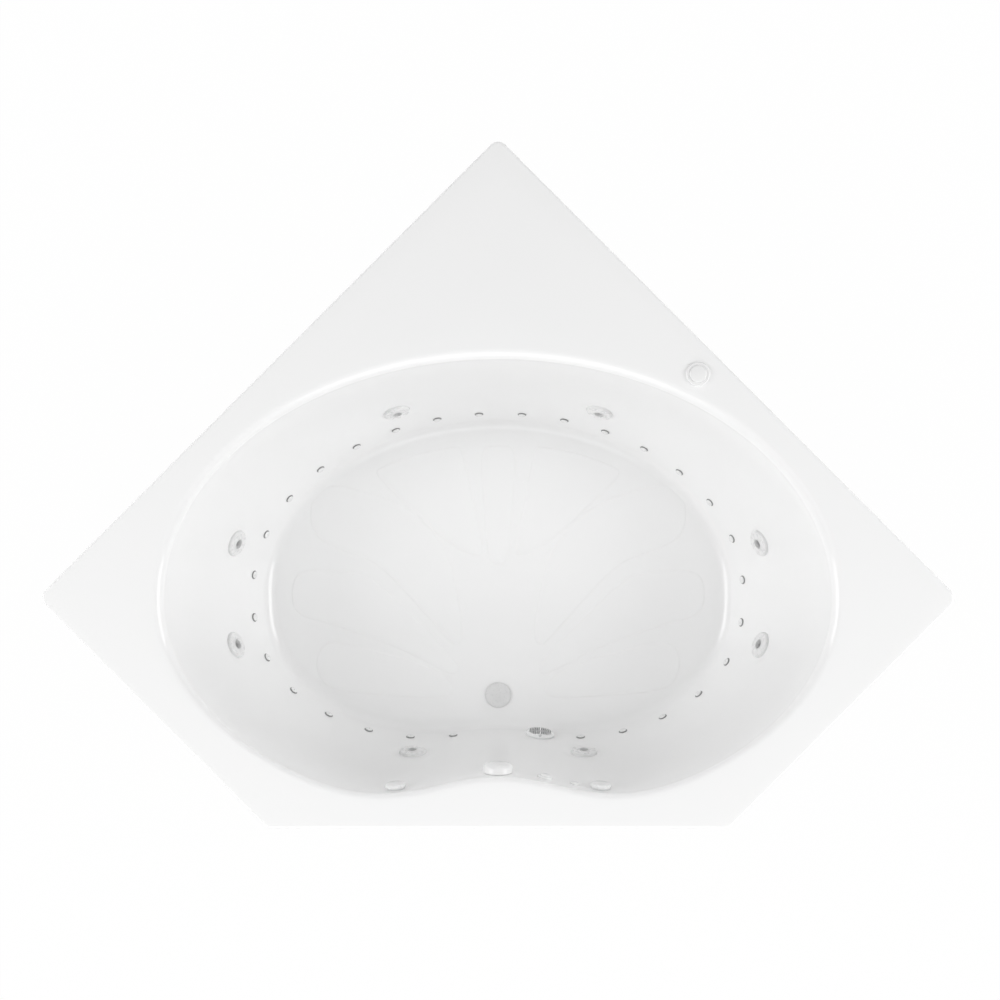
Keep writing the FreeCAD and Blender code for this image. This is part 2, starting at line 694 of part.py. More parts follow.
def air_check_valve():
    middle = air_inlet_end - VALVE_LENGTH / 2
    body = cross_rod(AIR_INLET_R + CHANNEL_WALL, air_inlet_end - VALVE_LENGTH, air_inlet_end, basin_y, channel_side.z)
    drum = cross_rod(VALVE_R, middle - VALVE_LENGTH / 4, middle + VALVE_LENGTH / 4, basin_y, channel_side.z)
    bore = cross_rod(AIR_INLET_BORE, air_inlet_end - VALVE_LENGTH, air_inlet_end, basin_y, channel_side.z)
    return body.fuse(drum).cut(bore)


def blower_base():
    """Round fan housing on legs, its outlet towards the channel."""
    top = BLOWER_LEG + BLOWER_BODY
    outlet_z = channel_side.z - board_top
    legs = around(rod(BLOWER_LEG_R, 0, BLOWER_LEG, x=BLOWER_R - 2 * BLOWER_LEG_R), BLOWER_LEGS, 60.0)
    outlet = cross_rod(AIR_INLET_R, BLOWER_R - BLOWER_LEG_R, BLOWER_OUTLET_REACH, z=outlet_z)
    cavity = rod(BLOWER_R - BLOWER_WALL, BLOWER_LEG + BLOWER_WALL, top)
    bore = cross_rod(AIR_INLET_BORE, BLOWER_R - 2 * BLOWER_LEG_R, BLOWER_OUTLET_REACH, z=outlet_z)
    return rod(BLOWER_R, BLOWER_LEG, top).fuse(legs + [outlet]).cut([cavity, bore])


def blower_fan():
    """Fan wheel with its shaft, which runs in the motor hood."""
    disc = BLOWER_LEG + BLOWER_WALL + FAN_FLOAT
    blade_top = disc + FAN_DISC + FAN_BLADE
    shaft_top = BLOWER_LEG + BLOWER_BODY + BLOWER_WALL + BLOWER_BEARING - RUN_GAP
    blade = block(FAN_R - 2 * FAN_HUB_R, FAN_DISC, disc, blade_top, x=FAN_R / 2 + FAN_HUB_R)
    blade.rotate(V(FAN_R - FAN_HUB_R, 0, 0), V(0, 0, 1), VANE_SWEEP)
    wheel = rod(FAN_R, disc, disc + FAN_DISC)
    wheel = wheel.fuse(around(blade, FAN_BLADES) + [rod(FAN_HUB_R, disc, blade_top)])
    wheel = wheel.common(rod(FAN_R, disc, blade_top))
    return wheel.fuse(rod(BLOWER_SHAFT_R, disc, shaft_top))


def blower_hood():
    """Vented hood over the fan motor."""
    low = BLOWER_LEG + BLOWER_BODY
    high = low + BLOWER_HOOD
    shell = rod(BLOWER_R, low, high)
    rim = [edge for edge in shell.Edges if edge.BoundBox.ZMin > high - 1.0]
    shell = shell.makeFillet(BLOWER_R / 4, rim)
    vent = block(BLOWER_R, BLOWER_WALL, low + 0.25 * BLOWER_HOOD, low + 0.65 * BLOWER_HOOD, x=BLOWER_R)
    shell = shell.cut([rod(BLOWER_R - BLOWER_WALL, low, high - BLOWER_R / 4)] + around(vent, BLOWER_VENTS))
    motor = rod(BLOWER_MOTOR_R, low + BLOWER_WALL, high - BLOWER_WALL)
    bearing = rod(BLOWER_SHAFT_R + RUN_GAP, low, low + BLOWER_WALL + BLOWER_BEARING)
    return shell.fuse(motor).cut(bearing)


def port_line(first, second, up, depth, reach):
    """Points of a pipe from one jet's clockwise port to the next jet's other port."""
    start = first.multVec(V(reach, up, -depth))
    end = second.multVec(V(-reach, up, -depth))
    leave = first.Rotation.multVec(V(1, 0, 0))
    arrive = second.Rotation.multVec(V(1, 0, 0))
    across = end - start
    turn = leave.x * arrive.y - leave.y * arrive.x
    first_run = (across.x * arrive.y - across.y * arrive.x) / turn
    second_run = (leave.x * across.y - leave.y * across.x) / turn
    return [start, start + leave * first_run * CORNER_SHARE, end - arrive * second_run * CORNER_SHARE, end]


fed_route = port_line(jet_seats["right_back"], jet_seats["right_front"], 0, TEE_DEPTH, TEE_REACH)
fed_point = fed_route[1] + (fed_route[2] - fed_route[1]) * FEED_SHARE
pump_x = fed_point.x + PIPE_R + FEED_PIPE + OUTLET_REACH
pump_y = fed_point.y + VOLUTE_LENGTH / 2.0
pump_z = board_top + PUMP_PLATE + PUMP_LIFT + VOLUTE_R
pump_seat = frame(V(pump_x, pump_y, pump_z), V(1, 0, 0), V(0, -1, 0))
outlet_up = fed_point.z - pump_z
motor_back = -ADAPTER - MOTOR_LENGTH
motor_y = pump_y + ADAPTER + MOTOR_LENGTH / 2.0


def pump_volute():
    """Round wet end, with the inlet on its axis and the outlet at the top, level towards the jets."""
    end = VOLUTE_LENGTH + VOLUTE_INLET
    outlet = cross_rod(FEED_R, -OUTLET_REACH, 0, outlet_up, VOLUTE_LENGTH / 2)
    bores = [
        rod(VOLUTE_R - VOLUTE_WALL, 0, VOLUTE_LENGTH - VOLUTE_WALL),
        rod(SUCTION_BORE, 0, end),
        cross_rod(FEED_BORE, -OUTLET_REACH, 0, outlet_up, VOLUTE_LENGTH / 2),
    ]
    return rod(VOLUTE_R, 0, VOLUTE_LENGTH).fuse([rod(SUCTION_PIPE_R, 0, end), outlet]).cut(bores)


def pump_impeller():
    disc_top = IMPELLER_FLOAT + IMPELLER_DISC
    vane_top = disc_top + IMPELLER_VANE
    vane = block(IMPELLER_R - IMPELLER_HUB_R, IMPELLER_DISC, IMPELLER_FLOAT, vane_top,
                 x=(IMPELLER_R + IMPELLER_HUB_R) / 2)
    vane.rotate(V(IMPELLER_HUB_R, 0, 0), V(0, 0, 1), VANE_SWEEP)
    wheel = rod(IMPELLER_R, IMPELLER_FLOAT, disc_top)
    wheel = wheel.fuse(around(vane, IMPELLER_VANES) + [rod(IMPELLER_HUB_R, IMPELLER_FLOAT, vane_top)])
    return wheel.common(rod(IMPELLER_R, IMPELLER_FLOAT, vane_top)).cut(rod(SHAFT_R, 0, vane_top))


def pump_shaft():
    return rod(SHAFT_R, motor_back - SHAFT_TAIL, IMPELLER_FLOAT + IMPELLER_DISC + IMPELLER_VANE)


def pump_motor():
    """Finned motor with the adapter that closes the volute, and a wiring box on top."""
    fin = block(2 * MOTOR_FIN, MOTOR_FIN / 2, motor_back, -ADAPTER, x=MOTOR_R)
    box_y = MOTOR_R + 2 * MOTOR_FIN
    wiring = block(MOTOR_R, box_y, motor_back + MOTOR_R, -ADAPTER - MOTOR_R / 2, y=box_y / 2)
    body = rod(MOTOR_R, motor_back, -ADAPTER)
    body = body.fuse(around(fin, MOTOR_FINS) + [rod(VOLUTE_R, -ADAPTER, 0), wiring])
    return body.cut(rod(SHAFT_R + RUN_GAP, motor_back, 0))


def pump_end_bell():
    outer_r = MOTOR_R + MOTOR_FIN
    end = motor_back - END_BELL
    slot = block(outer_r / 2, END_BELL_WALL, end, end + END_BELL_WALL, x=outer_r / 2)
    bell = rod(outer_r, end, motor_back)
    edges = [edge for edge in bell.Edges if edge.BoundBox.ZMax < end + 1.0]
    bell = bell.makeFillet(2 * END_BELL_WALL, edges)
    hollow = rod(outer_r - END_BELL_WALL, end + END_BELL_WALL, motor_back)
    return bell.cut([hollow] + around(slot, END_BELL_SLOTS))


def screw_places():
    """Tops of the screws into the board: under the pump's plate and the control box's ears."""
    x = PUMP_PLATE_X / 2 - 2 * SCREW_HEAD_R
    y = PUMP_PLATE_Y / 2 - 2 * SCREW_HEAD_R
    plate_z = board_top + PUMP_PLATE
    places = [V(pump_x + sx * x, motor_y + sy * y, plate_z) for sx in (-1, 1) for sy in (-1, 1)]
    ear_x = CONTROL_LONG / 2 + CONTROL_EAR / 2
    places += [control_seat.multVec(V(sx * ear_x, 0, CONTROL_EAR_THICK)) for sx in (-1, 1)]
    return places


def screw_holes():
    holes = []
    for top in screw_places():
        low = board_top - SCREW_LENGTH - SLIP
        holes.append(rod(SCREW_R + SLIP, low, top.z, top.x, top.y))
    return holes


def board_screws():
    screws = []
    for top in screw_places():
        stem = rod(SCREW_R, board_top - SCREW_LENGTH, top.z, top.x, top.y)
        screws.append(stem.fuse(rod(SCREW_HEAD_R, top.z, top.z + SCREW_HEAD, top.x, top.y)))
    return screws


def pump_base():
    """Plate with a saddle under the motor."""
    top = board_top + PUMP_PLATE
    plate = block(PUMP_PLATE_X, PUMP_PLATE_Y, board_top, top, pump_x, motor_y)
    saddle = block(SADDLE_X, SADDLE_Y, board_top, pump_z - MOTOR_R / 2, pump_x, motor_y)
    bed = Part.makeCylinder(MOTOR_R + MOTOR_FIN + SLIP, 2 * SADDLE_Y, V(pump_x, motor_y - SADDLE_Y, pump_z), V(0, 1, 0))
    return plate.fuse(saddle.cut(bed)).cut(screw_holes())


board_edge = (apex_y - BOARD_INSET * math.sqrt(2.0)) * math.sqrt(0.5)
along_wall = V(math.sqrt(0.5), -math.sqrt(0.5), 0)
to_wall = V(math.sqrt(0.5), math.sqrt(0.5), 0)
control_middle = to_wall * (board_edge - CONTROL_EDGE_GAP - CONTROL_WIDE / 2) + along_wall * CONTROL_ALONG
control_seat = frame(V(control_middle.x, control_middle.y, board_top), along_wall, V(0, 0, 1))


def control_box():
    box = block(CONTROL_LONG, CONTROL_WIDE, 0, CONTROL_TALL)
    edges = [edge for edge in box.Edges if edge.BoundBox.ZMax > 1.0]
    box = box.makeFillet(CONTROL_EDGE_R, edges)
    ears = block(CONTROL_LONG + 2 * CONTROL_EAR, CONTROL_EAR_WIDE, 0, CONTROL_EAR_THICK)
    return placed(box.fuse(ears), control_seat).cut(screw_holes())


def board_corners():
    """Corners of the board: the deck's outline drawn in, with the back corner sawn off."""
    apex, right, front_right, front_left, left = deck_points(BOARD_INSET)
    cut_y = apex.y - BOARD_BACK_CUT
    return [V(BOARD_BACK_CUT, cut_y, 0), right, front_right, front_left, left, V(-BOARD_BACK_CUT, cut_y, 0)]


def foot_places():
    middle = V(0, basin_y, 0)
    places = []
    for corner in board_corners():
        inward = middle - corner
        inward.normalize()
        places.append(corner + inward * FOOT_INSET)
    return places


def base_board():
    """Board under the shell, notched at the front for the waste."""
    corners = board_corners()
    face = Part.Face(Part.makePolygon(corners + corners[:1]))
    face.translate(V(0, 0, FOOT_HEIGHT))
    board = face.extrude(V(0, 0, BOARD))
    notch_x = 2 * (DRAIN_GASKET_R + NUT_RIM + CABLE_R)
    notch_back = drain_seat.Base.y + DRAIN_GASKET_R + NUT_RIM
    notch = block(notch_x, notch_back - front_y, 0, board_top, y=(notch_back + front_y) / 2)
    studs = [rod(FOOT_STUD_R + SLIP, 0, board_top, place.x, place.y) for place in foot_places()]
    return board.cut([notch] + studs + screw_holes())


def levelling_foot(place):
    pad = turned([
        (0, 0), (FOOT_PAD_R, 0), (FOOT_PAD_R, 0.6 * FOOT_PAD), (FOOT_STUD_R + 2.0, FOOT_PAD), (0, FOOT_PAD)])
    stud = rod(FOOT_STUD_R, 0, board_top - SLIP)
    return placed(pad.fuse(stud), upright(place.x, place.y, 0))


def foot_nut(place):
    radius = 2 * FOOT_STUD_R
    corners = [V(radius * math.cos(math.pi * i / 3), radius * math.sin(math.pi * i / 3), 0) for i in range(6)]
    prism = Part.Face(Part.makePolygon(corners + corners[:1])).extrude(V(0, 0, FOOT_NUT))
    nut = prism.cut(rod(FOOT_STUD_R + SLIP, 0, FOOT_NUT))
    return placed(nut, upright(place.x, place.y, FOOT_HEIGHT - FOOT_NUT))


def drain_flange():
    barrel_r = DRAIN_HOLE_R - SLIP
    end = -SHELL - DRAIN_BARREL
    return turned([
        (DRAIN_BORE, end), (barrel_r, end), (barrel_r, FLANGE_GAP), (DRAIN_R, FLANGE_GAP),
        (DRAIN_R, 0.4 * DRAIN_FLANGE), (DRAIN_R - 1.5, DRAIN_FLANGE), (DRAIN_BORE, DRAIN_FLANGE)])


def drain_stopper():
    """Cap over the drain with a stem that the cable lifts."""
    base = DRAIN_FLANGE + TURN_GAP
    top = base + STOPPER_RISE
    return turned([
        (0, -STOPPER_STEM), (STOPPER_STEM_R, -STOPPER_STEM), (STOPPER_STEM_R, base), (STOPPER_R, base),
        (STOPPER_R, base + 0.4 * STOPPER_RISE), (STOPPER_R - 2.0, top - 0.2 * STOPPER_RISE),
        (0.6 * STOPPER_R, top), (0, top)])


shoe_top = -SHELL - DRAIN_GASKET
shoe_bottom = -SHELL - SHOE_DROP
shoe_inlet_z = -SHELL - SHOE_INLET_DROP
socket_r = TUBE_R + TUBE_SOCKET_WALL


def drain_shoe():
    """Waste body on the flange's barrel, with a tailpiece socket below and the overflow's socket in front."""
    inlet_at = V(0, 0, shoe_inlet_z)
    forward = V(0, -1, 0)
    mouth = V(0, TUBE_SOCKET - SHOE_INLET_REACH, shoe_inlet_z)
    body = rod(SHOE_R, shoe_bottom, shoe_top)
    body = body.fuse([
        rod(DRAIN_GASKET_R, shoe_top - TUBE_SOCKET_WALL, shoe_top),
        Part.makeCylinder(socket_r, SHOE_INLET_REACH, inlet_at, forward),
    ])
    return body.cut([
        rod(DRAIN_HOLE_R, -SHELL - DRAIN_BARREL - DRAIN_GASKET, 0),
        rod(TUBE_BORE, shoe_bottom - TAILPIECE, 0),
        rod(TUBE_R - TAIL_STEP + SLIP, shoe_bottom - TAILPIECE, shoe_bottom + TAIL_SOCKET),
        Part.makeCylinder(TUBE_BORE, SHOE_INLET_REACH, inlet_at, forward),
        Part.makeCylinder(TUBE_R + SLIP, TUBE_SOCKET, mouth, forward),
    ])


def drain_tailpiece():
    """Tube out of the shoe, turned down to a shoulder just under the shoe's inlet."""
    top = shoe_bottom + TAIL_SOCKET
    shoulder = top - TAILPIECE + TAIL_FREE
    tail = ring(TUBE_BORE, TUBE_R, top - TAILPIECE, shoulder)
    return tail.fuse(ring(TUBE_BORE, TUBE_R - TAIL_STEP, shoulder, top))


overflow_front = -pad_back - GASKET
overflow_axis = overflow_front - OVERFLOW_FLANGE - socket_r
overflow_end = overflow_axis - socket_r - OVERFLOW_WALL
overflow_tee = overflow_seat.multVec(V(0, 0, overflow_axis))
overflow_mouth_z = overflow_tee.z - OVERFLOW_DROP


def overflow_body():
    """Box behind the wall with a hub for the dial and an upright outlet."""
    hub_end = overflow_end + OVERFLOW_WALL
    bearing_r = DIAL_AXLE_R + RUN_GAP
    barrel = rod(OVERFLOW_HOLE_R + OVERFLOW_WALL, overflow_end, overflow_front)
    barrel = barrel.fuse(rod(OVERFLOW_FLANGE_R, overflow_front - OVERFLOW_FLANGE, overflow_front))
    barrel = placed(barrel, overflow_seat)
    outlet = rod(socket_r, overflow_mouth_z, overflow_tee.z, 0, overflow_tee.y)
    bores = [
        placed(rod(OVERFLOW_HOLE_R, hub_end, BEYOND), overflow_seat),
        rod(TUBE_BORE, overflow_mouth_z, overflow_tee.z, 0, overflow_tee.y),
        rod(TUBE_R + SLIP, overflow_mouth_z, overflow_mouth_z + TUBE_SOCKET, 0, overflow_tee.y),
    ]
    hub = ring(bearing_r, 2 * DIAL_AXLE_R, hub_end, hub_end + DIAL_BEARING)
    return barrel.fuse(outlet).cut(bores).fuse(placed(hub, overflow_seat))


def overflow_dial():
    """Hollow turning dial over the overflow, its axle in the hub behind, with water ports in its lower edge."""
    end = overflow_end + OVERFLOW_WALL + SLIP
    inner_r = DIAL_R - DIAL_WALL
    shoulder = DIAL_RISE - 2 * DIAL_WALL
    dial = turned([
        (0, end), (DIAL_AXLE_R, end), (DIAL_AXLE_R, DIAL_SKIRT), (DIAL_HUB_R, DIAL_SKIRT),
        (DIAL_HUB_R, shoulder), (inner_r, shoulder - DIAL_WALL), (inner_r, DIAL_SKIRT), (DIAL_R, DIAL_SKIRT),
        (DIAL_R, DIAL_RISE - 2.5 * DIAL_WALL), (DIAL_R - 0.5 * DIAL_WALL, DIAL_RISE - 1.4 * DIAL_WALL),
        (DIAL_R - 1.6 * DIAL_WALL, DIAL_RISE - 0.6 * DIAL_WALL), (0.55 * DIAL_R, DIAL_RISE), (0, DIAL_RISE)])
    ports = []
    for i in range(DIAL_PORTS):
        port = block(DIAL_R, DIAL_PORT, 0, DIAL_PORT, x=DIAL_R)
        port.rotate(V(), V(0, 0, 1), DIAL_PORT_STEP * (i - (DIAL_PORTS - 1) / 2) - 90.0)
        ports.append(port)
    return dial.cut(ports)


def overflow_tube():
    inlet_z = floor_z + shoe_inlet_z
    inlet_y = drain_seat.Base.y - SHOE_INLET_REACH + TUBE_SOCKET - SLIP
    top = V(0, overflow_tee.y, overflow_mouth_z + TUBE_SOCKET - SLIP)
    return tube_along([top, V(0, overflow_tee.y, inlet_z), V(0, inlet_y, inlet_z)], TUBE_R, TUBE_BORE, TUBE_BEND)


def stopper_cable():
    """Sheathed cable beside the overflow tube, from the dial's box to the shoe."""
    x = socket_r + CABLE_R + SLIP
    low = floor_z + shoe_inlet_z
    top = V(x, overflow_tee.y, overflow_mouth_z + OVERFLOW_DROP / 2)
    return rod_along([top, V(x, overflow_tee.y, low), V(x, drain_seat.Base.y - SHOE_R, low)], CABLE_R, CABLE_BEND)


def waste_gaskets():
    drain = placed(ring(DRAIN_HOLE_R, DRAIN_GASKET_R, shoe_top, -SHELL), drain_seat)
    overflow = placed(ring(OVERFLOW_HOLE_R, OVERFLOW_FLANGE_R, overflow_front, -pad_back), overflow_seat)
    return [drain, overflow]


def air_control_body():
    barrel_r = AIR_CONTROL_HOLE_R - SLIP
    barb_at = V(0, 0, AIR_HOSE_R + SLIP - AIR_CONTROL_BARREL)
    down = V(0, -1, 0)
    body = rod(AIR_CONTROL_FLANGE_R, FLANGE_GAP, JET_FLANGE)
    body = body.fuse([
        rod(barrel_r, -AIR_CONTROL_BARREL, JET_FLANGE),
        Part.makeCylinder(AIR_HOSE_R, AIR_CONTROL_BARB, barb_at, down),
    ])
    return body.cut([
        rod(barrel_r - JET_WALL, JET_WALL - AIR_CONTROL_BARREL, BEYOND),
        Part.makeCylinder(AIR_HOSE_BORE, AIR_CONTROL_BARB, barb_at, down),
    ])


def air_control_knob():
    """Scalloped knob whose stub turns in the body."""
    stub_r = AIR_CONTROL_HOLE_R - SLIP - JET_WALL - TURN_GAP
    base = JET_FLANGE + TURN_GAP
    top = base + KNOB_RISE
    knob = turned([
        (0, -KNOB_RISE), (stub_r, -KNOB_RISE), (stub_r, base), (KNOB_R - 1.0, base), (KNOB_R, base + 2.0),
        (KNOB_R, top - 4.0), (KNOB_R - 1.5, top - 1.5), (KNOB_R - 5.0, top), (0, top)])
    scallop = rod(KNOB_SCALLOP_R, base, top + BEYOND, x=KNOB_R + 0.75 * KNOB_SCALLOP_R)
    return knob.cut(around(scallop, KNOB_SCALLOPS))


def button_housing(flange_r, cap_r):
    """Flanged housing with a recess for the cap and a nipple for the air tube."""
    barrel_r = BUTTON_HOLE_R - SLIP
    stem_r = BUTTON_STEM_R + TURN_GAP
    recess_r = cap_r + TURN_GAP
    stop = JET_WALL - BUTTON_BARREL
    body = turned([
        (0, -BUTTON_BARREL), (barrel_r, -BUTTON_BARREL), (barrel_r, FLANGE_GAP), (flange_r, FLANGE_GAP),
        (flange_r, 0.5 * BUTTON_RISE), (flange_r - 0.4 * BUTTON_RISE, BUTTON_RISE), (recess_r, BUTTON_RISE),
        (recess_r, BUTTON_FLOOR), (stem_r, BUTTON_FLOOR), (stem_r, stop), (0, stop)])
    return body.fuse(rod(BUTTON_TUBE_R, -BUTTON_BARREL - BUTTON_NIPPLE, -BUTTON_BARREL))


def button_cap(cap_r):
    low = BUTTON_FLOOR + BUTTON_TRAVEL + TURN_GAP
    top = BUTTON_RISE + BUTTON_PROUD
    end = JET_WALL - BUTTON_BARREL + BUTTON_TRAVEL + TURN_GAP
    return turned([
        (0, end), (BUTTON_STEM_R, end), (BUTTON_STEM_R, low), (cap_r, low), (cap_r, top - 0.6 * BUTTON_PROUD),
        (cap_r - 0.4 * BUTTON_PROUD, top - 0.2 * BUTTON_PROUD), (cap_r - BUTTON_PROUD, top), (0, top)])


def level_sensor():
    barrel_r = SENSOR_HOLE_R - SLIP
    return turned([
        (0, -SENSOR_BARREL), (barrel_r, -SENSOR_BARREL), (barrel_r, FLANGE_GAP), (SENSOR_R, FLANGE_GAP),
        (SENSOR_R, JET_FLANGE), (SENSOR_R - 2.0, JET_FLANGE + 1.5), (0.4 * SENSOR_R, JET_FLANGE + 2.0),
        (0, JET_FLANGE + 2.0)])


def button_tubes():
    """Air tubes from the two buttons down to the wall side of the control box."""
    face = board_edge - CONTROL_EDGE_GAP
    entry_z = board_top + CONTROL_TALL / 2
    stand_off = CONTROL_EDGE_GAP + CONTROL_EAR

    def entry(along):
        inner = to_wall * face + along_wall * along
        outer = to_wall * (face + stand_off) + along_wall * along
        return V(inner.x, inner.y, entry_z), V(outer.x, outer.y, entry_z)

    nipple = V(0, 0, -BUTTON_BARREL - BUTTON_NIPPLE)
    near_in, near_out = entry(CONTROL_ALONG - CONTROL_LONG / 4)
    far_in, far_out = entry(CONTROL_ALONG + CONTROL_LONG / 4)
    deck = deck_button_seat.multVec(nipple)
    wall = wall_button_seat.multVec(nipple)
    middle_z = (deck.z + entry_z) / 2
    under_deck = deck_z - 2 * LIP_DROP
    side_x = (wall_point(0, BASIN_DEPTH).x + leg) / 2
    ledge_y = (front_y + wall.y) / 2
    corner_x = leg - short_leg
    deck_route = [deck, V(deck.x, deck.y, middle_z), V(near_out.x, near_out.y, middle_z - LIP_DROP), near_out, near_in]
    wall_route = [
        wall,
        wall_button_seat.multVec(nipple - V(0, 0, LIP_DROP / 2)),
        V(2 * wall.x, ledge_y, under_deck),
        V(corner_x, ledge_y, under_deck),
        V(side_x, corner_y, under_deck),
        V(far_out.x, far_out.y, under_deck),
        far_out,
        far_in,
    ]
    return [rod_along(route, BUTTON_TUBE_R, BUTTON_TUBE_BEND) for route in (deck_route, wall_route)]


def water_pipes():
    """Pipes between neighbouring jets, and the feed from the pump to the pipe beside it."""
    seats = list(jet_seats.values())
    routes = [port_line(a, b, 0, TEE_DEPTH, TEE_REACH) for a, b in zip(seats, seats[1:])]
    pipes = [tube_along(route, PIPE_R, PIPE_BORE, PIPE_BEND) for route in routes]
    beside = list(jet_seats).index("right_back")
    outlet_end = pump_x - OUTLET_REACH
    feed = cross_rod(FEED_R, fed_point.x, outlet_end, fed_point.y, fed_point.z)
    feed_bore = cross_rod(FEED_BORE, fed_point.x, outlet_end, fed_point.y, fed_point.z)
    pipes[beside] = pipes[beside].cut(feed_bore)
    return pipes + [feed.cut([feed_bore, rod_along(fed_route, PIPE_R, PIPE_BEND)])]


def air_hoses():
    """Air hoses along the jets, fed at both front ends from the air controls."""
    seats = list(jet_seats.values())
    routes = [port_line(a, b, AIR_PORT_UP, AIR_PORT_DEPTH, AIR_PORT_REACH) for a, b in zip(seats, seats[1:])]
    for side, name, way in (("left", "front_left", -1), ("right", "front_right", 1)):
        control = air_control_seats[side]
        jet = jet_seats[name]
        barb = V(0, -AIR_CONTROL_BARB, AIR_HOSE_R + SLIP - AIR_CONTROL_BARREL)
        start = control.multVec(barb)
        below = control.multVec(barb - V(0, AIR_CONTROL_BARB, 0))
        port = jet.multVec(V(way * AIR_PORT_REACH, AIR_PORT_UP, -AIR_PORT_DEPTH))
        beside = jet.multVec(V(way * 3 * AIR_PORT_REACH, AIR_PORT_UP, -AIR_PORT_DEPTH))
        above = V(beside.x, start.y, (below.z + beside.z) / 2)
        routes.append([start, below, above, beside, port])
    return [tube_along(route, AIR_HOSE_R, AIR_HOSE_BORE, AIR_HOSE_BEND) for route in routes]


def suction_pipe():
    """Pipe from the suction round the front of the basin to the pump's inlet."""
    start = suction_seat.multVec(V(-SUCTION_REACH, 0, -SUCTION_TEE_DEPTH))
    heading = suction_seat.Rotation.multVec(V(-1, 0, 0))
    end = pump_seat.multVec(V(0, 0, VOLUTE_LENGTH + VOLUTE_INLET))
    elbow = 2 * SUCTION_PIPE_R
    side = wall_point(math.radians(SUCTION_SIDE_ANGLE), SUCTION_HEIGHT, SHELL + CHANNEL_REACH + 3 * SUCTION_PIPE_R)
    bend = V(end.x, end.y - 2 * elbow, end.z)
    before = bend - V(2 * elbow, 0, 0)
    ahead = start + heading * (3 * SUCTION_REACH)
    route = [start, ahead, V(side.x, side.y, (start.z + end.z) / 2), before, bend, end]
    return tube_along(route, SUCTION_PIPE_R, SUCTION_BORE, elbow)


def on_wall(shape, seats):
    return group([placed(shape, seat) for seat in seats])


def fitting_nuts():
    nuts = [placed(lock_nut(SUCTION_HOLE_R, -pad_back), suction_seat)]
    nuts += [placed(lock_nut(AIR_CONTROL_HOLE_R, -pad_back), seat) for seat in air_control_seats.values()]
    nuts.append(placed(lock_nut(BUTTON_HOLE_R, -pad_back), wall_button_seat))
    nuts.append(placed(lock_nut(BUTTON_HOLE_R, -SHELL), deck_button_seat))
    nuts.append(placed(lock_nut(SENSOR_HOLE_R, -pad_back), sensor_seat))
    return nuts


def jet_bodies():
    names = list(jet_seats)
    bodies = []
    for name, seat in jet_seats.items():
        sides = [-1, 1]
        if name == names[0]:
            sides = [1]
        if name == names[-1]:
            sides = [-1]
        bodies.append(placed(jet_body(sides), seat))
    return bodies


def build():
    """All pieces by name."""
    jets = jet_seats.values()
    gasket = ring(JET_HOLE_R, JET_FLANGE_R, -pad_back - GASKET, -pad_back)
    pieces = {
        "tub_shell": tub_shell(),
        "base_board": base_board(),
        "levelling_feet": group([levelling_foot(place) for place in foot_places()]),
        "foot_nuts": group([foot_nut(place) for place in foot_places()]),
        "drain_flange": placed(drain_flange(), drain_seat),
        "drain_shoe": placed(drain_shoe(), drain_seat),
        "drain_tailpiece": placed(drain_tailpiece(), drain_seat),
        "drain_stopper": placed(drain_stopper(), drain_seat),
        "waste_gaskets": group(waste_gaskets()),
        "overflow_body": overflow_body(),
        "overflow_tube": overflow_tube(),
        "overflow_dial": placed(overflow_dial(), overflow_seat),
        "stopper_cable": stopper_cable(),
        "jet_bodies": group(jet_bodies()),
        "jet_gaskets": on_wall(gasket, jets),
        "jet_nuts": on_wall(lock_nut(JET_HOLE_R, -pad_back - GASKET), jets),
        "suction_body": placed(suction_body(), suction_seat),
        "suction_cover": placed(suction_cover(), suction_seat),
        "suction_pipe": suction_pipe(),
        "water_pipes": group(water_pipes()),
        "air_hoses": group(air_hoses()),
        "air_injectors": on_wall(air_injector(), injector_seats()),
        "air_channel": air_channel(),
        "air_check_valve": air_check_valve(),
        "blower_base": placed(blower_base(), blower_seat),
        "blower_hood": placed(blower_hood(), blower_seat),
        "blower_fan": placed(blower_fan(), blower_seat),
        "pump_base": pump_base(),
        "pump_volute": placed(pump_volute(), pump_seat),
        "pump_motor": placed(pump_motor(), pump_seat),
        "pump_end_bell": placed(pump_end_bell(), pump_seat),
        "pump_shaft": placed(pump_shaft(), pump_seat),
        "pump_impeller": placed(pump_impeller(), pump_seat),
        "air_control_bodies": on_wall(air_control_body(), air_control_seats.values()),
        "fitting_nuts": group(fitting_nuts()),
        "button_housings": group([
            placed(button_housing(DECK_BUTTON_FLANGE_R, DECK_BUTTON_CAP_R), deck_button_seat),
            placed(button_housing(WALL_BUTTON_FLANGE_R, WALL_BUTTON_CAP_R), wall_button_seat),
        ]),
        "deck_button_cap": placed(button_cap(DECK_BUTTON_CAP_R), deck_button_seat),
        "wall_button_cap": placed(button_cap(WALL_BUTTON_CAP_R), wall_button_seat),
        "button_tubes": group(button_tubes()),
        "level_sensor": placed(level_sensor(), sensor_seat),
        "control_box": control_box(),
        "fasteners": group(board_screws() + [placed(screw, suction_seat) for screw in cover_screws()]),
    }
    for side, seat in air_control_seats.items():
        pieces["air_knob_" + side] = placed(air_control_knob(), seat)
    for name, seat in jet_seats.items():
        pieces["jet_face_" + name] = placed(jet_face(), seat)
        pieces["jet_nozzle_" + name] = placed(jet_nozzle(), seat)
    return pieces


os.makedirs("parts", exist_ok=True)
for node, shape in build().items():
    shape.exportStep("parts/" + node + ".step")
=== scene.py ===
import json
import math

import bpy
import numpy as np
from mathutils import Matrix, Vector

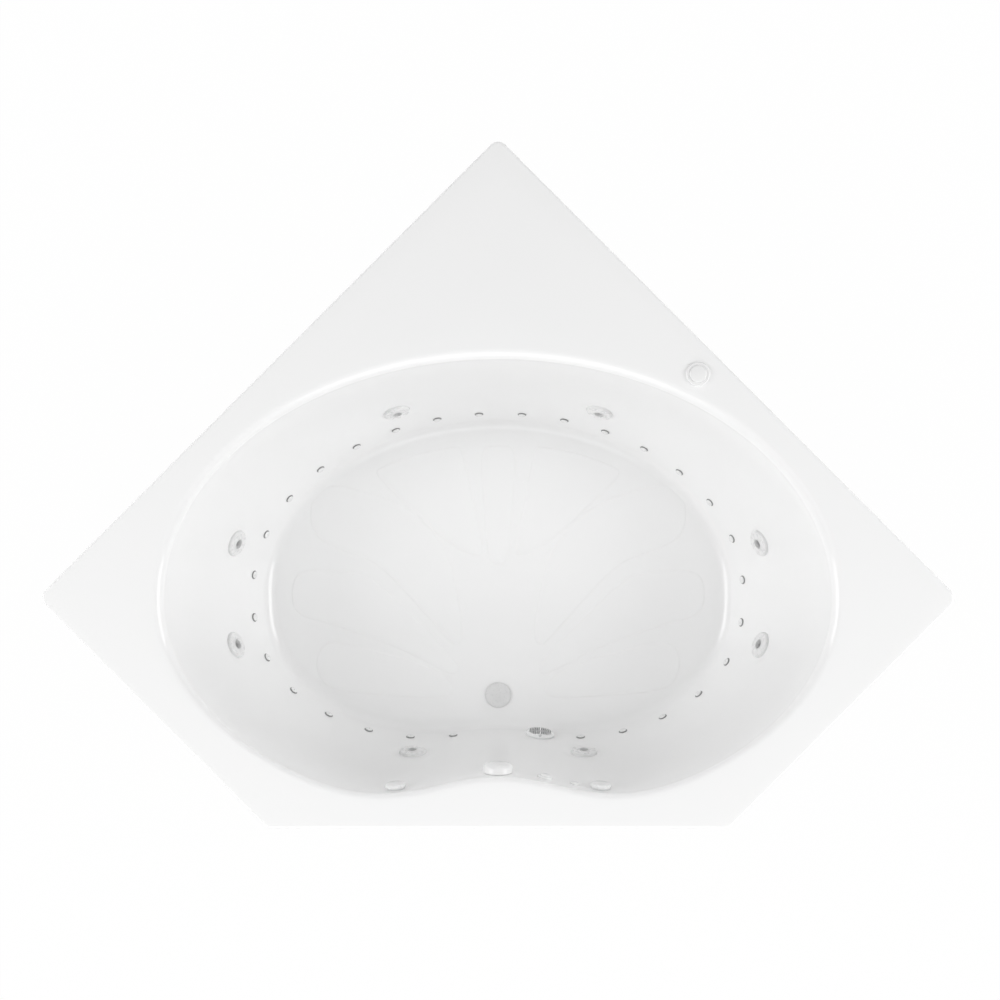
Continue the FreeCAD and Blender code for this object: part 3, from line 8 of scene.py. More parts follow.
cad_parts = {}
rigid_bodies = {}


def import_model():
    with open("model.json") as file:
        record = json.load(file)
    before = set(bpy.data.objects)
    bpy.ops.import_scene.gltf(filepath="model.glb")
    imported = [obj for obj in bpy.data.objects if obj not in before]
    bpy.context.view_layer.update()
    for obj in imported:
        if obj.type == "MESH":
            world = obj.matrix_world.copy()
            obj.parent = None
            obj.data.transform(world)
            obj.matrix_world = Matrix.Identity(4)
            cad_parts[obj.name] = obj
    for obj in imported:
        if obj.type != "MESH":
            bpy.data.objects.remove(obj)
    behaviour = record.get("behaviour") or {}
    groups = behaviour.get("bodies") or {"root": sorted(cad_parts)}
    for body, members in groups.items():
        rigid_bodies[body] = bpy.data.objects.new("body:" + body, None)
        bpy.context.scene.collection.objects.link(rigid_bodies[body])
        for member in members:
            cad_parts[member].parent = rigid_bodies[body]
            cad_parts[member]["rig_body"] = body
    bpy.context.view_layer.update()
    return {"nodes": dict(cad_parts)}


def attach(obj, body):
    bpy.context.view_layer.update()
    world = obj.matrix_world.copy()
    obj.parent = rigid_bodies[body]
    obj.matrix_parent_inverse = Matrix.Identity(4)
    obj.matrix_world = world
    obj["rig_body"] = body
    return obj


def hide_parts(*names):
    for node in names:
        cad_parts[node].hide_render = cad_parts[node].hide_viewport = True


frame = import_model()


# The studio is a plain white floor under a soft white sky that is brightest along the horizon.
# Two broad panels at the ends of the tub are the main light; the one in front of it is weaker.
# The camera hangs straight above the deck, square to the corner that the two walls make.
CAMERA_PLACE = (0.00467, -0.035, 5.584)
CAMERA_VIEW = 2.3354      # width of the view at the deck
CAMERA_REACH = 5.0        # from the camera down to the deck
FLOOR_SIZE = 30.0
FLOOR_COLOUR = (0.9, 0.9, 0.9, 1)
FLOOR_WHITE = 0.98        # share of the floor that shows as plain white
SKY_LIGHT = (             # height, from the horizon to straight up, and strength
    (0.0, 2.05), (0.3, 0.0), (0.6, 0.37), (1.0, 0.62))
PANEL_AIM = Vector((0.0, -0.2, 0.5))
PANELS = {                # place, watts and width
    "left_panel": ((-5.5, -0.3, 4.0), 170.0, 3.5),
    "right_panel": ((5.5, -0.3, 4.0), 170.0, 3.5),
    "front_panel": ((0.0, -3.8, 2.8), 43.0, 2.6),
}

camera_data = bpy.data.cameras.new("camera")
camera_data.angle = 2 * math.atan(CAMERA_VIEW / 2 / CAMERA_REACH)
camera = bpy.data.objects.new("camera", camera_data)
camera.location = CAMERA_PLACE
bpy.context.scene.collection.objects.link(camera)
bpy.context.scene.camera = camera
bpy.context.scene.view_settings.view_transform = "Standard"

for name, (place, watts, width) in PANELS.items():
    panel_light = bpy.data.lights.new(name, "AREA")
    panel_light.energy = watts
    panel_light.size = width
    panel = bpy.data.objects.new(name, panel_light)
    panel.location = place
    panel.rotation_euler = (PANEL_AIM - panel.location).to_track_quat("-Z", "Y").to_euler()
    bpy.context.scene.collection.objects.link(panel)

world = bpy.data.worlds.new("sky")
bpy.context.scene.world = world
world.use_nodes = True
sky_nodes = world.node_tree.nodes
sky_links = world.node_tree.links
sky = sky_nodes["Background"]
sky.inputs["Color"].default_value = (1, 1, 1, 1)
sky_way = sky_nodes.new("ShaderNodeTexCoord")
sky_height = sky_nodes.new("ShaderNodeSeparateXYZ")
sky_fade = sky_nodes.new("ShaderNodeValToRGB")
for _ in range(len(SKY_LIGHT) - 2):
    sky_fade.color_ramp.elements.new(0.5)
for stop, (height, strength) in zip(sky_fade.color_ramp.elements, SKY_LIGHT):
    share = strength / SKY_LIGHT[0][1]
    stop.position = height
    stop.color = (share, share, share, 1)
sky_strength = sky_nodes.new("ShaderNodeMath")
sky_strength.operation = "MULTIPLY"
sky_strength.inputs[1].default_value = SKY_LIGHT[0][1]
sky_shown = sky_nodes.new("ShaderNodeMath")
sky_shown.operation = "MAXIMUM"
sky_rays = sky_nodes.new("ShaderNodeLightPath")
sky_links.new(sky_way.outputs["Generated"], sky_height.inputs[0])
sky_links.new(sky_height.outputs["Z"], sky_fade.inputs[0])
sky_links.new(sky_fade.outputs["Color"], sky_strength.inputs[0])
sky_links.new(sky_strength.outputs[0], sky_shown.inputs[0])
sky_links.new(sky_rays.outputs["Is Camera Ray"], sky_shown.inputs[1])
sky_links.new(sky_shown.outputs[0], sky.inputs["Strength"])

bpy.ops.object.select_all(action="DESELECT")
bpy.ops.mesh.primitive_plane_add(size=FLOOR_SIZE, location=(0, 0, 0))
floor = bpy.context.object
floor.name = "studio_floor"
floor_material = bpy.data.materials.new("studio_floor")
floor_material.use_nodes = True
floor_nodes = floor_material.node_tree.nodes
floor_links = floor_material.node_tree.links
floor_paint = floor_nodes["Principled BSDF"]
floor_paint.inputs["Base Color"].default_value = FLOOR_COLOUR
floor_paint.inputs["Roughness"].default_value = 0.8
floor_glow = floor_nodes.new("ShaderNodeEmission")
floor_glow.inputs["Strength"].default_value = 1.0
floor_share = floor_nodes.new("ShaderNodeMath")
floor_share.operation = "MULTIPLY"
floor_share.inputs[1].default_value = FLOOR_WHITE
floor_mix = floor_nodes.new("ShaderNodeMixShader")
floor_seen = floor_nodes.new("ShaderNodeMath")
floor_seen.operation = "MAXIMUM"
floor_rays = floor_nodes.new("ShaderNodeLightPath")
floor_links.new(floor_rays.outputs["Is Camera Ray"], floor_seen.inputs[0])
floor_links.new(floor_rays.outputs["Is Glossy Ray"], floor_seen.inputs[1])
floor_links.new(floor_seen.outputs[0], floor_share.inputs[0])
floor_links.new(floor_share.outputs[0], floor_mix.inputs["Fac"])
floor_links.new(floor_paint.outputs[0], floor_mix.inputs[1])
floor_links.new(floor_glow.outputs[0], floor_mix.inputs[2])
floor_links.new(floor_mix.outputs[0], floor_nodes["Material Output"].inputs["Surface"])
floor.data.materials.append(floor_material)


# The tub is one white acrylic moulding, drawn down over a mould and stiffened behind with glass fibre.
# The deck ends in a turned-down lip, and the wall has flats and holes where the fittings pass through.
WALL_SIDE = 1.524
RETURN_SIDE = 0.762
DECK_CORNER_R = 0.025
DECK_EDGE_R = 0.007
LIP_DROP = 0.04
SHEET = 0.006
BASIN_DEPTH = 0.48
FLOOR_Z = 0.104
DECK_Z = FLOOR_Z + BASIN_DEPTH
RIM = {
    "half": 0.787, "back": 0.566, "front": 0.51, "squareness": 2.0, "dip": 0.095, "dip_width": 0.23}
FLOOR_LINE = {
    "half": 0.586, "back": 0.428, "front": 0.364, "squareness": 2.5, "dip": 0.022, "dip_width": 0.15}
RIM_MARGIN = 0.025
RIM_ROLL = 0.026
FRONT_ROLL = 0.016        # the rim is rolled tighter along the front
FRONT_ROLL_REACH = (45.0, 80.0)  # degrees from the middle of the front where it eases off and ends
FLOOR_FILLET = 0.038
WALL_BOW = 1.3
FLAT_BLEND = 0.016        # how far a flat runs out into the curved wall
FLAT_BACK = 0.008         # thickness of the wall at a flat
FLAT_BACK_MARGIN = 0.003  # a flat is this much wider behind the wall
FLAT_DEPTH = 0.05         # points further than this from a flat's plane belong to another stretch of wall
FOOT_STEP = 0.02          # height over which the slope of the wall's foot is taken
TURN_STEP = 0.0005        # turn and distance over which the wall's other directions are taken
SEAT_STEP = 0.001
FINE_TURNS = 20001        # turns at which the rim is looked up
MESH_TURNS = 480          # columns of the mesh, besides those at the deck's corners
MESH_TURN_START = 0.003
MESH_TURN_GAP = 0.0006    # columns closer than this are left out
CORNER_STEPS = 9
DECK_ROWS = 5
EDGE_ROWS = 5
UNDERSIDE_ROWS = 4
DRILL_DEPTH = 0.05
JET_HEIGHT = 0.168
JET_ANGLES = {
    "front_left": 254.0, "left_front": 195.0, "left_back": 165.0, "back_left": 112.0,
    "back_right": 68.0, "right_back": 15.0, "right_front": 345.0, "front_right": 286.0,
}
SUCTION_ANGLE = 276.9
SUCTION_HEIGHT = 0.062
OVERFLOW_ANGLE = 270.0
OVERFLOW_DOWN = 0.06      # below the deck, as for the knobs, the button and the sensor
KNOB_ANGLES = (252.0, 288.0)
KNOB_DOWN = 0.058
WALL_BUTTON_ANGLE = 278.0
WALL_BUTTON_DOWN = 0.06
SENSOR_ANGLE = 283.3
SENSOR_DOWN = 0.062
DECK_BUTTON_X = 0.467
DECK_BUTTON_FROM_APEX = 0.554
DRAIN_FROM_WALL = 0.076
FLAT_RADII = {
    "jet": 0.034, "knob": 0.026, "suction": 0.039, "overflow": 0.038, "wall_button": 0.021, "sensor": 0.014}
HOLE_RADII = {
    "jet": 0.024, "knob": 0.014, "suction": 0.026, "overflow": 0.025, "wall_button": 0.012, "sensor": 0.008,
    "deck_button": 0.012, "drain": 0.023}

leg = WALL_SIDE * math.sqrt(0.5)
short_leg = RETURN_SIDE * math.sqrt(0.5)
apex_y = (leg + short_leg + DECK_CORNER_R * (math.sqrt(2.0) - 1.0)) / 2
corner_y = apex_y - leg
front_y = corner_y - short_leg
basin_y = front_y + RIM_MARGIN + RIM["front"]


def oval(turn, half, back, front, squareness, dip, dip_width):
    """Points of a basin outline: an elliptic back, and a front drawn in at the middle."""
    across = np.cos(turn)
    along = np.sin(turn)
    power = 2.0 / squareness
    front_x = half * np.sign(across) * np.abs(across) ** power
    drawn_in = dip * np.exp(-((front_x / dip_width) ** 2))
    x = np.where(along >= 0, half * across, front_x)
    y = np.where(along >= 0, back * along, drawn_in - front * np.abs(along) ** power)
    return np.stack([x, basin_y + y], axis=-1)


def wall(turn, height, grow=0.0):
    """Points of the wet side of the wall at heights over the basin floor, or outside it by grow."""
    share = (1.0 - np.maximum(1.0 - height / BASIN_DEPTH, 0.0) ** WALL_BOW)[..., None]

    def at(angle):
        low = oval(angle, **FLOOR_LINE)
        return low + (oval(angle, **RIM) - low) * share

    tangent = at(turn + TURN_STEP) - at(turn - TURN_STEP)
    tangent /= np.linalg.norm(tangent, axis=-1, keepdims=True)
    outward = np.stack([tangent[..., 1], -tangent[..., 0]], axis=-1)
    return at(turn) + outward * grow


def wall_seat(angle, height):
    """Frame on the wall: Z points into the bath, Y up the wall and X level."""
    turn = math.radians(angle)

    def point(t, h):
        x, y = wall(np.array(t), np.array(h))
        return Vector((x, y, FLOOR_Z + h))

    level = (point(turn - SEAT_STEP, height) - point(turn + SEAT_STEP, height)).normalized()
    up = point(turn, height + SEAT_STEP) - point(turn, height - SEAT_STEP)
    inward = level.cross(up).normalized()
    seat = Matrix((level, inward.cross(level), inward)).transposed().to_4x4()
    seat.translation = point(turn, height)
    return seat


jet_seats = {name: wall_seat(angle, JET_HEIGHT) for name, angle in JET_ANGLES.items()}
suction_seat = wall_seat(SUCTION_ANGLE, SUCTION_HEIGHT)
drain_wall_y = wall(np.array(1.5 * math.pi), np.array(0.0))[1]
drain_seat = Matrix.Translation((0, drain_wall_y + DRAIN_FROM_WALL, FLOOR_Z))
seats = {
    "jet": list(jet_seats.values()),
    "knob": [wall_seat(angle, BASIN_DEPTH - KNOB_DOWN) for angle in KNOB_ANGLES],
    "suction": [suction_seat],
    "overflow": [wall_seat(OVERFLOW_ANGLE, BASIN_DEPTH - OVERFLOW_DOWN)],
    "wall_button": [wall_seat(WALL_BUTTON_ANGLE, BASIN_DEPTH - WALL_BUTTON_DOWN)],
    "sensor": [wall_seat(SENSOR_ANGLE, BASIN_DEPTH - SENSOR_DOWN)],
    "deck_button": [Matrix.Translation((DECK_BUTTON_X, apex_y - DECK_BUTTON_FROM_APEX, DECK_Z))],
    "drain": [drain_seat],
}
flats = [(seat, radius) for kind, radius in FLAT_RADII.items() for seat in seats[kind]]
holes = [(seat, radius) for kind, radius in HOLE_RADII.items() for seat in seats[kind]]


def deck_outline(steps):
    """Points and outward directions of the five-sided deck, with rounded corners."""
    front_x = leg - short_leg
    places = ((0, apex_y), (-leg, corner_y), (-front_x, front_y), (front_x, front_y), (leg, corner_y))
    corners = [Vector(place) for place in places]
    rows = []
    for i, corner in enumerate(corners):
        before = (corners[i - 1] - corner).normalized()
        after = (corners[(i + 1) % len(corners)] - corner).normalized()
        half = before.angle(after) / 2
        middle = corner + (before + after).normalized() * (DECK_CORNER_R / math.sin(half))
        first = Vector((-before.y, before.x))
        sweep = math.pi - 2 * half
        start = math.atan2(first.y, first.x)
        for k in range(steps + 1):
            a = start + sweep * k / steps
            out = (math.cos(a), math.sin(a))
            rows.append((middle.x + DECK_CORNER_R * out[0], middle.y + DECK_CORNER_R * out[1], *out))
    return np.array(rows)


def at_turns(outline, bearings):
    """The outline's points and directions on rays from the middle of the basin."""
    own = np.unwrap(np.arctan2(outline[:, 1] - basin_y, outline[:, 0]))
    loop = np.vstack([outline, outline[:1]])
    own = np.append(own, own[0] + 2 * math.pi)
    wanted = own[0] + np.mod(bearings - own[0], 2 * math.pi)
    k = np.clip(np.searchsorted(own, wanted, side="right") - 1, 0, len(own) - 2)
    start = loop[k, :2] - (0, basin_y)
    run = loop[k + 1, :2] - loop[k, :2]
    ray = np.stack([np.cos(bearings), np.sin(bearings)], axis=-1)
    share = -(start[:, 0] * ray[:, 1] - start[:, 1] * ray[:, 0])
    share = share / (run[:, 0] * ray[:, 1] - run[:, 1] * ray[:, 0])
    rows = loop[k] + (loop[k + 1] - loop[k]) * np.clip(share, 0, 1)[:, None]
    return rows[:, :2], rows[:, 2:] / np.linalg.norm(rows[:, 2:], axis=-1, keepdims=True)


def skin(turns, grow, fillet, roll, floor_rows, fillet_rows, wall_rows, roll_rows):
    """Rings of one side of the moulding, from the middle of the floor over the rim to the deck."""
    bottom = -grow
    top = BASIN_DEPTH - grow
    level = np.ones_like(turns)
    foot = wall(turns, bottom * level, grow)
    run = wall(turns, (bottom + FOOT_STEP) * level, grow) - foot
    reach = np.linalg.norm(run, axis=-1)
    outward = run / reach[:, None]
    lean = np.arctan2(FOOT_STEP, reach)
    cut = fillet * np.tan(lean / 2)
    rim = wall(turns, top * level, grow)
    over = wall(turns, top * level, grow + SEAT_STEP) - rim
    over /= np.linalg.norm(over, axis=-1, keepdims=True)
    rim_run = np.linalg.norm(rim - wall(turns, (top - roll) * level, grow), axis=-1)
    rim_lean = np.arctan2(roll, rim_run)
    rim_cut = roll * np.tan(rim_lean / 2)
    rings = []

    def add(plan, height):
        rings.append(np.column_stack([plan, FLOOR_Z + height * level]))

    middle = np.array((0.0, basin_y))
    flat_edge = foot - outward * cut[:, None]
    for i in range(floor_rows):
        add(middle + (flat_edge - middle) * (i / floor_rows), bottom)
    for i in range(fillet_rows + 1):
        a = lean * i / fillet_rows
        add(foot + outward * (fillet * np.sin(a) - cut)[:, None], bottom + fillet * (1 - np.cos(a)))
    low = bottom + cut * np.sin(lean)
    high = top - rim_cut * np.sin(rim_lean)
    for i in range(1, wall_rows):
        h = low + (high - low) * i / wall_rows
        add(wall(turns, h, grow), h)
    for i in range(roll_rows + 1):
        a = rim_lean * (1 - i / roll_rows)
        add(rim + over * (rim_cut - roll * np.sin(a))[:, None], top - roll * (1 - np.cos(a)))
    return rings


def flatten(points, seat, reach, depth):
    """Moves wall points near a fitting on to its flat, and less the further out they are."""
    base = np.array(seat.translation)
    inward = np.array(seat.col[2][:3])
    away = points - base
    ahead = away @ inward
    aside = np.linalg.norm(away - ahead[..., None] * inward, axis=-1)
    share = np.clip((reach + FLAT_BLEND - aside) / FLAT_BLEND, 0, 1)
    share = share * share * (3 - 2 * share)
    share[np.abs(ahead) > FLAT_DEPTH] = 0
    points -= (share * (ahead + depth))[..., None] * inward


def select_only(piece):
    """Makes one piece both the active and the only selected one."""
    bpy.ops.object.select_all(action="DESELECT")
    piece.select_set(True)
    bpy.context.view_layer.objects.active = piece


outline = deck_outline(CORNER_STEPS)
fine = np.linspace(0, 2 * math.pi, FINE_TURNS)
rim_fine = oval(fine, **RIM)
bearing_fine = np.unwrap(np.arctan2(rim_fine[:, 1] - basin_y, rim_fine[:, 0]))
corner_bearings = np.arctan2(outline[:, 1] - basin_y, outline[:, 0])
corner_bearings = bearing_fine[0] + np.mod(corner_bearings - bearing_fine[0], 2 * math.pi)
corner_turns = np.interp(corner_bearings, bearing_fine, fine)
even_turns = np.linspace(0, 2 * math.pi, MESH_TURNS, endpoint=False) + MESH_TURN_START
turns = np.sort(np.concatenate([even_turns, corner_turns]))
turns = turns[np.append(True, np.diff(turns) > MESH_TURN_GAP)]
rim_points = oval(turns, **RIM)
bearings = np.arctan2(rim_points[:, 1] - basin_y, rim_points[:, 0])
edge, edge_out = at_turns(outline, bearings)

from_front = np.degrees(np.abs(np.mod(turns + math.pi / 2 + math.pi, 2 * math.pi) - math.pi))
tight = np.clip((FRONT_ROLL_REACH[1] - from_front) / (FRONT_ROLL_REACH[1] - FRONT_ROLL_REACH[0]), 0, 1)
rim_roll = RIM_ROLL + (FRONT_ROLL - RIM_ROLL) * tight * tight * (3 - 2 * tight)
wet = np.array(skin(
    turns, 0.0, FLOOR_FILLET, rim_roll,
    floor_rows=8, fillet_rows=8, wall_rows=64, roll_rows=8))
back = np.array(skin(
    turns, SHEET, FLOOR_FILLET + SHEET, rim_roll - SHEET,
    floor_rows=5, fillet_rows=5, wall_rows=40, roll_rows=4))
for seat, reach in flats:
    flatten(wet, seat, reach, 0.0)
    flatten(back, seat, reach + FLAT_BACK_MARGIN, FLAT_BACK)
rings = list(wet)


def level_ring(inset, height):
    """The deck's outline, moved in and laid at one height."""
    return np.column_stack([edge - edge_out * inset, np.full(len(turns), height)])


for i in range(1, DECK_ROWS + 1):
    rings.append(wet[-1] + (level_ring(DECK_EDGE_R, DECK_Z) - wet[-1]) * (i / DECK_ROWS))
for i in range(1, EDGE_ROWS + 1):
    a = math.pi / 2 * i / EDGE_ROWS
    rings.append(level_ring(DECK_EDGE_R * (1 - math.sin(a)), DECK_Z - DECK_EDGE_R * (1 - math.cos(a))))
rings.append(level_ring(0.0, DECK_Z - LIP_DROP))
front_rows = len(rings)
rings.append(level_ring(SHEET, DECK_Z - LIP_DROP))
rings.append(level_ring(SHEET, DECK_Z - SHEET))
for i in range(1, UNDERSIDE_ROWS):
    rings.append(rings[front_rows + 1] + (back[-1] - rings[front_rows + 1]) * (i / UNDERSIDE_ROWS))
rings += list(back[::-1])
rings = np.array(rings)

bpy.ops.object.select_all(action="DESELECT")
bpy.ops.mesh.primitive_grid_add(x_subdivisions=len(turns), y_subdivisions=len(rings) - 1, size=1)
tub = bpy.context.object
tub.name = "tub_moulding"
closed = np.concatenate([rings, rings[:, :1]], axis=1)
tub.data.vertices.foreach_set("co", closed.reshape(-1))
rows = np.repeat(np.arange(len(rings) - 1), len(turns))
tub.data.polygons.foreach_set("material_index", (rows >= front_rows).astype(np.int32))
bpy.ops.object.mode_set(mode="EDIT")
bpy.ops.mesh.select_all(action="SELECT")
bpy.ops.mesh.remove_doubles(threshold=0.00001)
bpy.ops.mesh.normals_make_consistent(inside=False)
bpy.ops.object.mode_set(mode="OBJECT")


def joined(pieces):
    """One object made of several."""
    select_only(pieces[0])
    for piece in pieces:
        piece.select_set(True)
    bpy.ops.object.join()
    return bpy.context.object


def cut_away(piece, cutters):
    """Cuts several solids out of a piece and removes them."""
    cutter = joined(cutters)
    select_only(piece)
    cut = piece.modifiers.new("cut", "BOOLEAN")
    cut.operation = "DIFFERENCE"
    cut.solver = "EXACT"
    cut.object = cutter
    bpy.ops.object.modifier_apply(modifier=cut.name)
    bpy.data.objects.remove(cutter)
    select_only(piece)


cutters = []
for seat, radius in holes:
    bpy.ops.object.select_all(action="DESELECT")
    bpy.ops.mesh.primitive_cylinder_add(vertices=48, radius=radius, depth=DRILL_DEPTH)
    bpy.context.object.matrix_world = seat
    cutters.append(bpy.context.object)
cut_away(tub, cutters)
bpy.ops.object.shade_smooth_by_angle(angle=math.radians(38))


def start_material(name, roughness):
    """A new material, with its shader and the object's own coordinates."""
    material = bpy.data.materials.new(name)
    material.use_nodes = True
    nodes = material.node_tree.nodes
    shader = nodes["Principled BSDF"]
    shader.inputs["Roughness"].default_value = roughness
    place = nodes.new("ShaderNodeTexCoord")
    return material, shader, place.outputs["Object"]


def noise(material, place, scale, detail=2.0, stretch=(1, 1, 1)):
    """A noise pattern, in waves to the metre."""
    nodes = material.node_tree.nodes
    links = material.node_tree.links
    mapping = nodes.new("ShaderNodeMapping")
    mapping.inputs["Scale"].default_value = stretch
    texture = nodes.new("ShaderNodeTexNoise")
    texture.inputs["Scale"].default_value = scale
    texture.inputs["Detail"].default_value = detail
    links.new(place, mapping.inputs["Vector"])
    links.new(mapping.outputs["Vector"], texture.inputs["Vector"])
    return texture.outputs["Fac"]


def tint(material, shader, fac, dark, light, low=0.35, high=0.65):
    """Colours the surface between two shades."""
    ramp = material.node_tree.nodes.new("ShaderNodeValToRGB")
    ramp.color_ramp.elements[0].position = low
    ramp.color_ramp.elements[0].color = (*dark, 1)
    ramp.color_ramp.elements[1].position = high
    ramp.color_ramp.elements[1].color = (*light, 1)
    material.node_tree.links.new(fac, ramp.inputs["Fac"])
    material.node_tree.links.new(ramp.outputs["Color"], shader.inputs["Base Color"])


def gloss(material, shader, fac, smooth, rough):
    """Varies the roughness between two values."""
    span = material.node_tree.nodes.new("ShaderNodeMapRange")
    span.inputs["From Min"].default_value = 0.3
    span.inputs["From Max"].default_value = 0.7
    span.inputs["To Min"].default_value = smooth
    span.inputs["To Max"].default_value = rough
    material.node_tree.links.new(fac, span.inputs["Value"])
    material.node_tree.links.new(span.outputs["Result"], shader.inputs["Roughness"])


def relief(material, shader, fac, depth):
    """Raises the surface by a depth in metres where the pattern is light."""
    bump = material.node_tree.nodes.new("ShaderNodeBump")
    bump.inputs["Strength"].default_value = 1.0
    bump.inputs["Distance"].default_value = depth
    material.node_tree.links.new(fac, bump.inputs["Height"])
    material.node_tree.links.new(bump.outputs["Normal"], shader.inputs["Normal"])


acrylic, acrylic_shader, acrylic_place = start_material("white_acrylic", 0.1)
acrylic_cloud = noise(acrylic, acrylic_place, 2.5)
tint(acrylic, acrylic_shader, acrylic_cloud, (0.953, 0.954, 0.953), (0.958, 0.958, 0.957))
gloss(acrylic, acrylic_shader, noise(acrylic, acrylic_place, 6.0), 0.08, 0.14)
relief(acrylic, acrylic_shader, noise(acrylic, acrylic_place, 45.0), 0.00001)
acrylic_shader.inputs["IOR"].default_value = 1.49

fibreglass, fibreglass_shader, fibreglass_place = start_material("glass_fibre_backing", 0.5)
strands = noise(fibreglass, fibreglass_place, 60.0, 6.0, (1, 0.25, 1))
tint(fibreglass, fibreglass_shader, strands, (0.62, 0.6, 0.5), (0.8, 0.79, 0.71))
relief(fibreglass, fibreglass_shader, strands, 0.0012)

tub.data.materials.append(acrylic)
tub.data.materials.append(fibreglass)
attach(tub, "tub")
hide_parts("tub_shell")


# Nine low pads are moulded in the floor of the basin, spread like petals round its middle.
# They are drawn in the same sheet, so each is a flat plateau a millimetre high with a narrow sloping edge.
PAD_RISE = 0.001
PAD_EDGE = 0.0035
PAD_ROOT = 0.002          # how far a pad goes into the sheet
PAD_ROUNDS = 4            # each round cuts every corner of an outline off by this share of its sides
PAD_CUT = 0.25
PAD_OUTLINES = {          # corners of the middle pad and of the pads on the left
    "middle_pad": [
        (-0.049, 0.101), (0.0, 0.106), (0.049, 0.101), (0.038, -0.048), (0.03, -0.16), (0.02, -0.2),
        (-0.02, -0.2), (-0.03, -0.16), (-0.038, -0.048)],
    "back_pad": [
        (-0.318, 0.038), (-0.29, 0.055), (-0.21, 0.085), (-0.11, 0.103), (-0.092, 0.1), (-0.064, -0.045),
        (-0.038, -0.165), (-0.052, -0.182), (-0.118, -0.158), (-0.292, 0.006)],
    "end_back_pad": [
        (-0.481, -0.035), (-0.452, 0.002), (-0.385, 0.003), (-0.233, -0.047), (-0.131, -0.155),
        (-0.1, -0.291), (-0.088, -0.385), (-0.108, -0.412), (-0.132, -0.39), (-0.29, -0.212),
        (-0.343, -0.183), (-0.425, -0.157), (-0.481, -0.117)],
    "end_pad": [
        (-0.534, -0.268), (-0.51, -0.208), (-0.359, -0.22), (-0.308, -0.243), (-0.112, -0.44), (-0.1, -0.47),
        (-0.118, -0.488), (-0.251, -0.414), (-0.43, -0.353), (-0.52, -0.33)],
    "end_front_pad": [
        (-0.469, -0.439), (-0.444, -0.397), (-0.392, -0.4), (-0.343, -0.413), (-0.2, -0.449),
        (-0.118, -0.495), (-0.118, -0.545), (-0.251, -0.539), (-0.425, -0.525), (-0.46, -0.49)],
}


def floor_pad(name, corners):
    """One plateau on the floor, with the corners of its outline rounded."""
    outline = np.array(corners)
    for _ in range(PAD_ROUNDS):
        after = np.roll(outline, -1, axis=0)
        pairs = [(1 - PAD_CUT) * outline + PAD_CUT * after, PAD_CUT * outline + (1 - PAD_CUT) * after]
        outline = np.stack(pairs, axis=1).reshape(-1, 2)
    bpy.ops.object.select_all(action="DESELECT")
    bpy.ops.mesh.primitive_circle_add(vertices=len(outline), fill_type="NGON")
    pad = bpy.context.object
    pad.name = name
    for vertex, (x, y) in zip(pad.data.vertices, outline):
        vertex.co = (x, y, FLOOR_Z - PAD_ROOT)
    bpy.ops.object.mode_set(mode="EDIT")
    bpy.ops.mesh.select_all(action="SELECT")
    bpy.ops.mesh.remove_doubles(threshold=0.0005)
    bpy.ops.mesh.extrude_region_move(TRANSFORM_OT_translate={"value": (0, 0, PAD_ROOT)})
    bpy.ops.mesh.inset(thickness=PAD_EDGE)
    bpy.ops.transform.translate(value=(0, 0, PAD_RISE))
    bpy.ops.mesh.select_all(action="SELECT")
    bpy.ops.mesh.normals_make_consistent(inside=False)
    bpy.ops.object.mode_set(mode="OBJECT")
    bpy.ops.object.shade_smooth_by_angle(angle=math.radians(12))
    pad.data.materials.append(acrylic)
    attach(pad, "tub")


for name, corners in PAD_OUTLINES.items():
    if name == "middle_pad":
        floor_pad(name, corners)
    else:
        floor_pad("left_" + name, corners)
        floor_pad("right_" + name, [(-x, y) for x, y in reversed(corners)])


# The tub is bonded to a sealed plywood board, sawn to the deck's outline and notched for the waste.
# The board shows its grain along the length and keeps its CAD form, with its sawn edges crisp.
def finished(node, material, sharp=32.0):
    """A welded and smoothed copy of a CAD piece, in its finish."""
    source = frame["nodes"][node]
    piece = bpy.data.objects.new(node + "_finished", source.data.copy())
    bpy.context.scene.collection.objects.link(piece)
    select_only(piece)
    bpy.ops.object.mode_set(mode="EDIT")
    bpy.ops.mesh.select_all(action="SELECT")
    bpy.ops.mesh.remove_doubles(threshold=0.000002)
    bpy.ops.object.mode_set(mode="OBJECT")
    bpy.ops.mesh.customdata_custom_splitnormals_clear()
    bpy.ops.object.shade_smooth_by_angle(angle=math.radians(sharp))
    piece.data.materials.clear()
    piece.data.materials.append(material)
    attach(piece, source["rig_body"])
    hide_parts(node)
    return piece


plywood, plywood_shader, plywood_place = start_material("sealed_plywood", 0.5)
grain = noise(plywood, plywood_place, 14.0, 6.0, (0.12, 1.6, 6.0))
tint(plywood, plywood_shader, grain, (0.42, 0.27, 0.13), (0.66, 0.49, 0.29), 0.3, 0.7)
relief(plywood, plywood_shader, grain, 0.0003)
finished("base_board", plywood)


# Six screw feet with wide pads level the board, each held by a lock nut from below.
# They are zinc-plated steel, as are the screws that hold the pump, the control box and the suction's cover.
zinc, zinc_shader, zinc_place = start_material("zinc_plated_steel", 0.35)
zinc_shader.inputs["Metallic"].default_value = 1.0
tint(zinc, zinc_shader, noise(zinc, zinc_place, 120.0, 4.0), (0.5, 0.51, 0.52), (0.68, 0.69, 0.7))
gloss(zinc, zinc_shader, noise(zinc, zinc_place, 300.0), 0.25, 0.45)
for node in ("levelling_feet", "foot_nuts", "fasteners"):
    finished(node, zinc)


